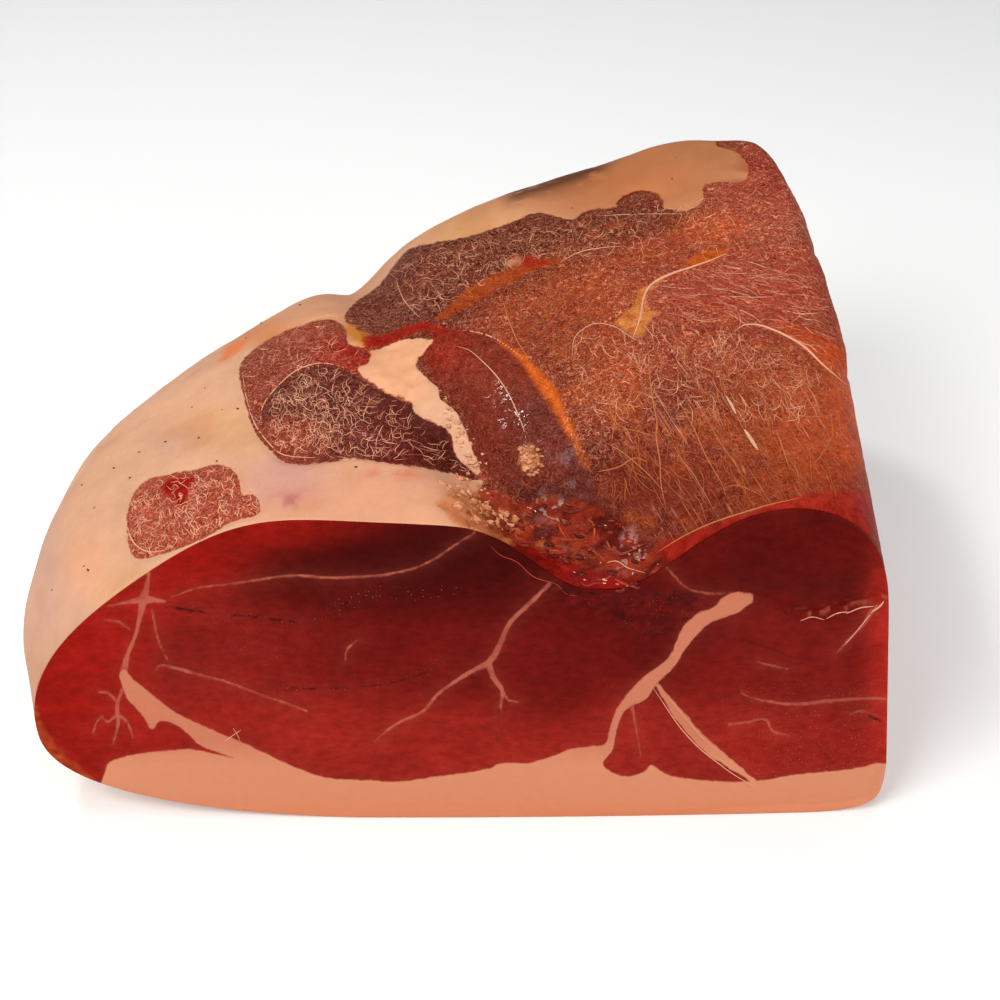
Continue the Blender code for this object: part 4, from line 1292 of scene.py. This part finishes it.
def build_lumps(name, surface, spots, sizes, tones, flatness, stretch, material, seed):
    """Small rough lumps at pixels: spheres whose radius varies with noise, pressed onto the surface."""
    points, normals, miss = landing(surface, spots)
    kept = miss < NEAR_PIXELS
    points, normals, sizes, tones = points[kept], normals[kept], sizes[kept], tones[kept]
    rows, columns = LUMP_ROWS, LUMP_COLUMNS
    polar = np.linspace(0, pi, rows + 2)[1:-1][:, None]
    turn = (np.arange(columns) * 2 * pi / columns)[None, :]
    ball = np.stack([np.sin(polar) * np.cos(turn), np.sin(polar) * np.sin(turn), np.cos(polar) + 0 * turn],
                    axis=-1)
    ball = np.concatenate([ball.reshape(-1, 3), [[0, 0, 1], [0, 0, -1]]])
    centres = points[:, None] + np.zeros_like(ball)[None]
    rough = 1 + 1.0 * waver(ball[None] * 1.9 + centres * 3.1, 1.0, seed)
    second = unit(np.cross(normals, LUMP_COURSE))
    first = np.cross(second, normals)
    shape = ball[None] * rough[..., None] * sizes[:, None, None]
    grid = (
        points[:, None] + stretch * shape[..., :1] * first[:, None] + 0.75 * shape[..., 1:2] * second[:, None]
        + flatness * shape[..., 2:] * normals[:, None]
    )
    start = np.arange(len(points))[:, None, None] * len(ball)
    quads = grid_faces(rows, columns, wrapped=True)[0][:, ::-1]
    top = fan(np.arange(columns), rows * columns, inward=False)
    bottom = fan(np.arange(columns) + (rows - 1) * columns, rows * columns + 1, inward=True)
    triangles = np.concatenate([top, bottom])
    fields = {"tone": np.repeat(tones, len(ball), axis=0)}
    quads, triangles = (start + quads).reshape(-1, 4), (start + triangles).reshape(-1, 3)
    return new_piece(name, grid.reshape(-1, 3), quads, triangles, fields, material)


# Shaders


def feed(tree, node, inputs):
    """Links a node's inputs to sockets, or sets them to values."""
    for key, value in inputs.items():
        if isinstance(value, bpy.types.NodeSocket):
            tree.links.new(value, node.inputs[key])
        else:
            node.inputs[key].default_value = value


def put(tree, kind, inputs=None, **settings):
    """A new node with its settings and its inputs."""
    made = tree.nodes.new(kind)
    for key, value in settings.items():
        setattr(made, key, value)
    feed(tree, made, inputs or {})
    return made


def maths(tree, operation, *values):
    """A Math node's output."""
    return put(tree, "ShaderNodeMath", dict(enumerate(values)), operation=operation).outputs[0]


def times(tree, first, second):
    """The product of two values."""
    return maths(tree, "MULTIPLY", first, second)


def plus(tree, first, second):
    """The sum of two values."""
    return maths(tree, "ADD", first, second)


def vector_maths(tree, operation, first, second):
    """A Vector Math node's output, whose second value is a vector, or the factor of SCALE."""
    key = "Scale" if operation == "SCALE" else 1
    return put(tree, "ShaderNodeVectorMath", {0: first, key: second}, operation=operation).outputs[0]


def mapped(tree, value, start, end, low=0.0, high=1.0):
    """A value brought from one range to another by a smooth step."""
    ranges = {"Value": value, "From Min": start, "From Max": end, "To Min": low, "To Max": high}
    return put(tree, "ShaderNodeMapRange", ranges, interpolation_type="SMOOTHSTEP").outputs["Result"]


def mixed(tree, share, first, second):
    """Two colours mixed by a share."""
    return put(tree, "ShaderNodeMix", {0: share, 6: first, 7: second}, data_type="RGBA").outputs[2]


def noise(tree, vector, scale, detail, roughness=0.5, output="Fac", dimensions="3D"):
    """A noise texture's output."""
    inputs = {"Vector": vector, "Scale": scale, "Detail": detail, "Roughness": roughness}
    return put(tree, "ShaderNodeTexNoise", inputs, noise_dimensions=dimensions).outputs[output]


def bumped(tree, height, strength, distance):
    """A normal that is moved by a height."""
    inputs = {"Height": height, "Strength": strength, "Distance": distance}
    return put(tree, "ShaderNodeBump", inputs).outputs[0]


def laid_flat(tree, vector):
    """Two coordinates for flat textures, slanted so that no upright side stretches them."""
    split = put(tree, "ShaderNodeSeparateXYZ", {"Vector": vector}).outputs
    across = maths(tree, "MULTIPLY_ADD", split["Z"], 0.6, split["X"])
    back = maths(tree, "MULTIPLY_ADD", split["Z"], 0.5, split["Y"])
    return put(tree, "ShaderNodeCombineXYZ", {"X": across, "Y": back}).outputs[0]


def fill_fibre_net(tree, given, out):
    """Pale tangle of dried fibres: bent Voronoi edges and noise contours, both broken up by more noise."""
    bend = noise(tree, given["Vector"], 0.4, 2.0, output="Color")
    offset = vector_maths(tree, "SUBTRACT", bend, (0.5, 0.5, 0.5))
    bent = vector_maths(tree, "ADD", given["Vector"], vector_maths(tree, "SCALE", offset, 5.0))
    bent = laid_flat(tree, bent)
    cells = put(tree, "ShaderNodeTexVoronoi", {"Vector": bent, "Scale": given["Scale"]},
                feature="DISTANCE_TO_EDGE", voronoi_dimensions="2D")
    edge = mapped(tree, cells.outputs["Distance"], given["Width"], 0.0)
    curls = noise(tree, bent, given["Scale"], 1.0, 0.4, dimensions="2D")
    level = maths(tree, "PINGPONG", times(tree, curls, 4.0), 0.5)
    curl = mapped(tree, level, times(tree, given["Width"], 1.4), 0.0)
    gate = noise(tree, given["Vector"], 0.5, 2.0)
    edge = times(tree, edge, mapped(tree, gate, 0.38, 0.56))
    curl = times(tree, curl, mapped(tree, gate, 0.62, 0.44))
    tree.links.new(maths(tree, "MAXIMUM", edge, curl), out["Net"])


def fill_long_fibres(tree, given, out):
    """Long thin lines: contours of noise that is stretched along the first axis of its vector."""
    squeezed = {"Vector": given["Vector"], "Scale": (0.11, 1.0, 1.0)}
    drawn_out = put(tree, "ShaderNodeMapping", squeezed).outputs[0]
    waves = noise(tree, laid_flat(tree, drawn_out), 0.42, 1.5, 0.45, dimensions="2D")
    lines = mapped(tree, maths(tree, "PINGPONG", times(tree, waves, 6.0), 0.5), given["Width"], 0.0)
    gate = mapped(tree, noise(tree, drawn_out, 0.7, 2.0), 0.4, 0.58)
    tree.links.new(times(tree, lines, gate), out["Lines"])


def fill_ragged_edge(tree, given, out):
    """1 inside an edge and 0 outside it, from the distance to the edge and noise that moves it."""
    moved = times(tree, maths(tree, "SUBTRACT", noise(tree, given["Vector"], 0.5, 3.0), 0.5), given["Reach"])
    distance = plus(tree, given["Distance"], times(tree, moved, 2.0))
    mask = mapped(tree, distance, given["Width"], times(tree, given["Width"], -1.0))
    tree.links.new(mask, out["Mask"])


def fill_mottle(tree, given, out):
    """Soft uneven tone in two sizes, about 0, and a fine grain height."""
    broad = noise(tree, given["Vector"], given["Scale"], 5.0, 0.62)
    fine = noise(tree, given["Vector"], times(tree, given["Scale"], 6.0), 3.0)
    tree.links.new(maths(tree, "SUBTRACT", broad, 0.5), out["Tone"])
    tree.links.new(fine, out["Height"])


def fill_dots(tree, given, out):
    """Small dots, one in each cell whose noise passes a threshold."""
    cells = put(tree, "ShaderNodeTexVoronoi", {"Vector": given["Vector"], "Scale": given["Scale"]})
    chance = put(tree, "ShaderNodeSeparateColor", {"Color": cells.outputs["Color"]}).outputs[0]
    dot = mapped(tree, cells.outputs["Distance"], given["Size"], 0.0)
    tree.links.new(times(tree, dot, maths(tree, "GREATER_THAN", chance, 0.45)), out["Dots"])


# What fills each shared node group, its inputs beside the vector with their defaults, and its outputs
GROUPS = {
    "Fibre Net": (fill_fibre_net, {"Scale": 0.4, "Width": 0.2}, ("Net",)),
    "Long Fibres": (fill_long_fibres, {"Width": 0.2}, ("Lines",)),
    "Ragged Edge": (fill_ragged_edge, {"Distance": 0.0, "Reach": 2.0, "Width": 0.8}, ("Mask",)),
    "Mottle": (fill_mottle, {"Scale": 0.3}, ("Tone", "Height")),
    "Specks": (fill_dots, {"Scale": 0.8, "Size": 0.16}, ("Dots",)),
}


def shared_group(name):
    """The node group of that name, made when a material first asks for it."""
    if name in bpy.data.node_groups:
        return bpy.data.node_groups[name]
    fill, inputs, outputs = GROUPS[name]
    tree = bpy.data.node_groups.new(name, "ShaderNodeTree")
    tree.interface.new_socket(name="Vector", in_out="INPUT", socket_type="NodeSocketVector")
    for label, default in inputs.items():
        socket = tree.interface.new_socket(name=label, in_out="INPUT", socket_type="NodeSocketFloat")
        socket.default_value = default
    for label in outputs:
        tree.interface.new_socket(name=label, in_out="OUTPUT", socket_type="NodeSocketFloat")
    fill(tree, tree.nodes.new("NodeGroupInput").outputs, tree.nodes.new("NodeGroupOutput").inputs)
    return tree


def pattern(tree, name, vector, output, **inputs):
    """One output of a shared node group that is placed with its own inputs."""
    return put(tree, "ShaderNodeGroup", {"Vector": vector} | inputs,
               node_tree=shared_group(name)).outputs[output]


def new_material(name):
    """A material with its node tree and its shader, whose plain reflection is weak."""
    material = bpy.data.materials.new(name)
    material.use_nodes = True
    shader = material.node_tree.nodes["Principled BSDF"]
    shader.inputs["Specular IOR Level"].default_value = SPECULAR
    return material, material.node_tree, shader


def field(tree, name, socket="Fac"):
    """A value that the mesh carries at its points."""
    return put(tree, "ShaderNodeAttribute", attribute_name=name).outputs[socket]


def millimetres(tree):
    """Object coordinates in millimetres."""
    return vector_maths(tree, "SCALE", put(tree, "ShaderNodeTexCoord").outputs["Object"], 1 / MM)


def scaled_tone(tree, tone, amount):
    """A colour made brighter or darker by one plus a value."""
    return vector_maths(tree, "SCALE", tone, plus(tree, amount, 1.0))


def deepened(tree, tone, amount):
    """A colour made darker and redder below 0, brighter and paler above: green and blue move further."""
    steps = vector_maths(tree, "MULTIPLY", amount, (1.0, 1.6, 2.1))
    factor = vector_maths(tree, "ADD", steps, (1.0, 1.0, 1.0))
    return vector_maths(tree, "MULTIPLY", tone, vector_maths(tree, "MAXIMUM", factor, (0.08, 0.08, 0.08)))


def rgba(colour):
    """A display colour as a shader's colour."""
    return tuple(linear(colour)) + (1.0,)


def cut_material(colours):
    """Moist cured lean and fat on the cut."""
    material, tree, shader = new_material("fresh_cut")
    place, grain = millimetres(tree), field(tree, "grain", "Vector")
    fat, seam, crack = (
        pattern(tree, "Ragged Edge", place, "Mask", Distance=field(tree, name), Reach=reach, Width=0.9)
        for name, reach in (("fat_edge", 1.2), ("seam_edge", 1.2), ("crack_edge", 2.6))
    )
    mottle = pattern(tree, "Mottle", grain, "Tone", Scale=0.5)
    broad = pattern(tree, "Mottle", place, "Height", Scale=0.03)
    grain_height = pattern(tree, "Mottle", place, "Height", Scale=0.5)
    lean = deepened(tree, field(tree, "tone", "Color"), times(tree, mottle, 0.9))
    seam = times(tree, seam, mapped(tree, broad, 0.42, 0.58, 0.45, 0.8))
    lean = mixed(tree, seam, lean, rgba(colours.seam))
    pale = scaled_tone(tree, field(tree, "fat_tone", "Color"), times(tree, mottle, 0.12))
    tone = mixed(tree, fat, lean, pale)
    # Painted shade: the cracks are darkened towards a near black red
    tone = mixed(tree, times(tree, crack, 0.7), tone, rgba(CRACK_SHADE_TONE))
    dots = pattern(tree, "Specks", place, "Dots", Scale=1.0, Size=0.26)
    speckle = times(tree, times(tree, dots, field(tree, "speckle")), maths(tree, "SUBTRACT", 1.0, fat))
    tone = mixed(tree, times(tree, speckle, 0.8), tone, rgba(colours.seam))
    height = plus(tree, times(tree, grain_height, 0.4), times(tree, speckle, 0.8))
    bump = bumped(tree, maths(tree, "SUBTRACT", height, crack), 0.5, 0.0004)
    wet = field(tree, "wet")
    rough = plus(tree, mapped(tree, wet, 0.0, 1.0, 0.5, 0.3), times(tree, mottle, 0.3))
    feed(tree, shader, {"Base Color": tone, "Roughness": rough, "Coat Weight": times(tree, wet, 0.5),
                        "Coat Roughness": 0.12, "Normal": bump, "Coat Normal": bump})
    return material


def outside_material(colours):
    """Dried meat with its net of pale fibres, and the fat round it."""
    material, tree, shader = new_material("dried_outside")
    place, grain = millimetres(tree), field(tree, "grain", "Vector")
    wet, combed, tone = field(tree, "wet"), field(tree, "long"), field(tree, "tone", "Color")
    meat = pattern(tree, "Ragged Edge", place, "Mask", Distance=field(tree, "meat_edge"), Reach=2.2,
                   Width=1.0)
    mottle = pattern(tree, "Mottle", place, "Tone", Scale=0.35)
    grain_height = pattern(tree, "Mottle", place, "Height", Scale=0.35)
    # Painted shade: the flesh is darker where the fine grain's bump height is low
    pit_shade = times(tree, maths(tree, "SUBTRACT", grain_height, 0.58), 0.9)
    flesh = deepened(tree, tone, plus(tree, pit_shade, times(tree, mottle, 1.5)))
    coarse = pattern(tree, "Fibre Net", place, "Net", Scale=0.36, Width=0.07)
    fine = pattern(tree, "Fibre Net", place, "Net", Scale=0.66, Width=0.1)
    tangle = maths(tree, "MAXIMUM", coarse, times(tree, fine, 0.8))
    tangle = times(tree, tangle, mapped(tree, combed, 0.0, 1.0, 1.0, 0.55))
    lines = times(tree, pattern(tree, "Long Fibres", grain, "Lines", Width=0.1), combed)
    cover = times(tree, maths(tree, "MAXIMUM", tangle, lines), field(tree, "net"))
    thread = mixed(tree, 0.4, rgba(colours.fibre), scaled_tone(tree, tone, 3.0))
    pale = scaled_tone(tree, field(tree, "fat_tone", "Color"), times(tree, mottle, 0.2))
    skin = mixed(tree, meat, pale, mixed(tree, cover, flesh, thread))
    gritty = times(tree, grain_height, mapped(tree, meat, 0.0, 1.0, 0.35, 0.8))
    bump = bumped(tree, plus(tree, times(tree, cover, meat), gritty), 0.8, 0.0005)
    film = bumped(tree, noise(tree, place, 0.3, 1.5), 1.0, 0.0005)
    rough = plus(tree, mapped(tree, wet, 0.0, 1.0, 0.46, 0.2), times(tree, mottle, 0.3))
    feed(tree, shader, {"Base Color": skin, "Roughness": rough, "Coat Weight": times(tree, wet, 0.9),
                        "Coat Roughness": 0.08, "Normal": bump, "Coat Normal": film})
    return material


def scrap_material(name, shine):
    """Dried or moist scraps that carry their own colour."""
    material, tree, shader = new_material(name)
    place = millimetres(tree)
    mottle = pattern(tree, "Mottle", place, "Tone", Scale=1.2)
    tone = scaled_tone(tree, field(tree, "tone", "Color"), times(tree, mottle, 0.6))
    bump = bumped(tree, pattern(tree, "Mottle", place, "Height", Scale=1.0), 0.4, 0.0003)
    feed(tree, shader, {"Base Color": tone, "Roughness": plus(tree, times(tree, mottle, 0.4), 0.5),
                        "Coat Weight": shine, "Coat Roughness": 0.15, "Normal": bump})
    return material


# Stage


def linked(context, name, data):
    """A new object of the scene with its data."""
    made = bpy.data.objects.new(name, data)
    context.scene.collection.objects.link(made)
    return made


def build_stage(context):
    """The pale floor, the lights and the camera."""
    stage = context.scene.cured_ham.stage
    mesh = bpy.data.meshes.new("floor")
    corners = ((-1, -1), (1, -1), (1, 1), (-1, 1))
    mesh.from_pydata([(FLOOR_HALF * x, FLOOR_HALF * y, FLOOR_HEIGHT) for x, y in corners], [], [(0, 1, 2, 3)])
    material, tree, shader = new_material("pale_floor")
    feed(tree, shader, {"Base Color": rgba(stage.floor), "Roughness": 0.8,
                        "Emission Color": (1.0, 1.0, 1.0, 1.0), "Emission Strength": stage.floor_glow})
    mesh.materials.append(material)
    floor = linked(context, "floor", mesh)
    world = bpy.data.worlds.new("soft_sky")
    world.use_nodes = True
    sky = {"Color": SKY_COLOUR, "Strength": stage.sky}
    feed(world.node_tree, world.node_tree.nodes["Background"], sky)
    context.scene.world = world
    for name, at, size in LIGHTS:
        data = bpy.data.lights.new(name, "AREA")
        data.energy, data.size = getattr(stage, name + "_watts"), size
        towards = (Vector(LIT_POINT) - Vector(at)).to_track_quat("-Z", "Y")
        linked(context, name, data).matrix_world = Matrix.Translation(at) @ towards.to_matrix().to_4x4()
    data = bpy.data.cameras.new("camera")
    data.lens, data.sensor_width, data.clip_start = LENS_MM, SENSOR_MM, NEAREST
    camera = linked(context, "camera", data)
    looking_down = Matrix.Rotation(pi / 2 - CAMERA_PITCH, 4, "X")
    camera.matrix_world = Matrix.Translation(placed(CAMERA_AT)) @ looking_down
    context.scene.camera = camera
    context.scene.view_settings.view_transform = "Standard"


class HamSettings(bpy.types.PropertyGroup):
    """All that a user may change about the ham."""

    cut: bpy.props.PointerProperty(type=HamCutColours, name="Cut", description="Colours of the cut")
    outside: bpy.props.PointerProperty(type=HamOutsideColours, name="Outside",
                                       description="Colours of the outside")
    stage: bpy.props.PointerProperty(type=HamStage, name="Stage", description="Floor and light")


class HAM_OT_stage(bpy.types.Operator):
    """Add the floor, the lights and the camera"""

    bl_idname = "ham.stage"
    bl_label = "Stage"

    def execute(self, context):
        build_stage(context)
        return {"FINISHED"}


class HAM_OT_outside(bpy.types.Operator):
    """Add the ham's dried outside with its fat"""

    bl_idname = "ham.outside"
    bl_label = "Dried outside"

    def execute(self, context):
        build_outside(context)
        return {"FINISHED"}


class HAM_OT_cut(bpy.types.Operator):
    """Add the face of the cut"""

    bl_idname = "ham.cut"
    bl_label = "Cut"

    def execute(self, context):
        build_cut(context)
        return {"FINISHED"}


def two_tones(generator, colours, names, count):
    """Random mixtures of two of the outside's colours."""
    first, second = (linear(getattr(colours, name)) for name in names)
    return blend(first, second, generator.uniform(0, 1, count))


class HAM_OT_sinews(bpy.types.Operator):
    """Add the pale and amber lines along the muscles' edges"""

    bl_idname = "ham.sinews"
    bl_label = "Sinews"

    def execute(self, context):
        colours = context.scene.cured_ham.outside
        tones = {
            "pale": linear(colours.fibre) * 0.8,
            "amber": linear(colours.golden),
            "cream": linear(colours.cream),
            "rose": linear(colours.rose) * 1.6,
        }
        material = scrap_material("sinew", 0.1)
        for name, surface, lines in (("sinews", "outside", OUTSIDE_LINES), ("cut_sinews", "cut", CUT_LINES)):
            paths, widths, kinds = zip(*lines)
            paths = np.array([respaced(smooth(path), SINEW_POINTS) for path in paths])
            kinds = np.array([tones[kind] for kind in kinds])
            build_strands(name, surface, paths, SINEW_WIDTH * np.array(widths), kinds, SINEW_RISE, material)
        return {"FINISHED"}


class HAM_OT_fibres(bpy.types.Operator):
    """Add the dried fibres that stand out of the muscles, and the shreds of meat by the bone's hollow"""

    bl_idname = "ham.fibres"
    bl_label = "Fibres"

    def execute(self, context):
        colours = context.scene.cured_ham.outside
        generator = np.random.default_rng(FIBRE_SEED)
        curled = [row for row in FIBRES if row[4] < LONG_PIXELS]
        combed = [row for row in FIBRES if row[4] >= LONG_PIXELS]
        for name, rows, samples, rise, shine in (
            ("long_fibres", combed, 16, 0.5, 0.05), ("curled_fibres", curled, 7, 0.5, 0.05),
            ("meat_shreds", SHREDS, 12, 0.25, 0.15),
        ):
            paths, widths, tones = [], [], []
            for outline, count, heading, spread_degrees, length, curl, width, first, second in rows:
                made = wandering(generator, outline, count, heading, spread_degrees, length, curl, samples)
                paths.append(made)
                widths.append(width * generator.uniform(0.7, 1.6, len(made)))
                tones.append(two_tones(generator, colours, (first, second), len(made)))
            paths, widths, tones = (np.concatenate(parts) for parts in (paths, widths, tones))
            build_strands(name, "outside", paths, widths, tones, rise, scrap_material(name, shine))
        return {"FINISHED"}


class HAM_OT_scraps(bpy.types.Operator):
    """Add crumbs of fat and meat and the specks on the fat"""

    bl_idname = "ham.scraps"
    bl_label = "Scraps"

    def execute(self, context):
        colours = context.scene.cured_ham.outside
        generator = np.random.default_rng(SCRAP_SEED)
        for name, groups, flatness, stretch, shine in (
            ("fat_crumbs", FAT_LUMPS, 0.6, 1.1, 0.1), ("meat_crumbs", MEAT_LUMPS, 0.5, 1.5, 0.2)
        ):
            spots, sizes, tones = [], [], []
            for outline, count, smallest, largest, first, second in groups:
                made = wandering(generator, outline, count, *SHORTEST)[:, 0]
                spots.append(made)
                sizes.append(smallest + (largest - smallest) * generator.uniform(0, 1, len(made)) ** 2)
                tones.append(two_tones(generator, colours, (first, second), len(made)))
            spots, sizes, tones = (np.concatenate(parts) for parts in (spots, sizes, tones))
            material = scrap_material(name, shine)
            build_lumps(name, "outside", spots, sizes, tones, flatness, stretch, material, LUMP_SEED)
        specks = np.array(FAT_SPECKS, float)
        brown = np.broadcast_to(linear(OUTSIDE_TONES["speck"]), (len(specks), 3))
        sizes = generator.uniform(*SPECK_RADII, len(specks))
        material = scrap_material("specks", 0.0)
        build_lumps("specks", "outside", specks, sizes, brown, 0.5, 1.0, material, SPECK_SEED)
        return {"FINISHED"}


class HAM_PT_panel(bpy.types.Panel):
    """The ham's pieces in the sidebar"""

    bl_idname = "HAM_PT_panel"
    bl_label = "Cured Ham"
    bl_space_type = "VIEW_3D"
    bl_region_type = "UI"
    bl_category = "Ham"

    def draw(self, context):
        for operator in OPERATORS:
            self.layout.operator(operator.bl_idname)
        settings = context.scene.cured_ham
        for group in (settings.cut, settings.outside, settings.stage):
            box = self.layout.box()
            for name in group.__annotations__:
                box.prop(group, name)


OPERATORS = (HAM_OT_stage, HAM_OT_outside, HAM_OT_cut, HAM_OT_sinews, HAM_OT_fibres, HAM_OT_scraps)
CLASSES = (HamCutColours, HamOutsideColours, HamStage, HamSettings) + OPERATORS + (HAM_PT_panel,)


def register():
    for entry in CLASSES:
        bpy.utils.register_class(entry)
    bpy.types.Scene.cured_ham = bpy.props.PointerProperty(type=HamSettings)


def unregister():
    del bpy.types.Scene.cured_ham
    for entry in reversed(CLASSES):
        bpy.utils.unregister_class(entry)


def main():
    """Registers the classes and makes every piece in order."""
    register()
    bpy.ops.ham.stage()
    bpy.ops.ham.outside()
    bpy.ops.ham.cut()
    bpy.ops.ham.sinews()
    bpy.ops.ham.fibres()
    bpy.ops.ham.scraps()


if __name__ == "__main__":
    main()
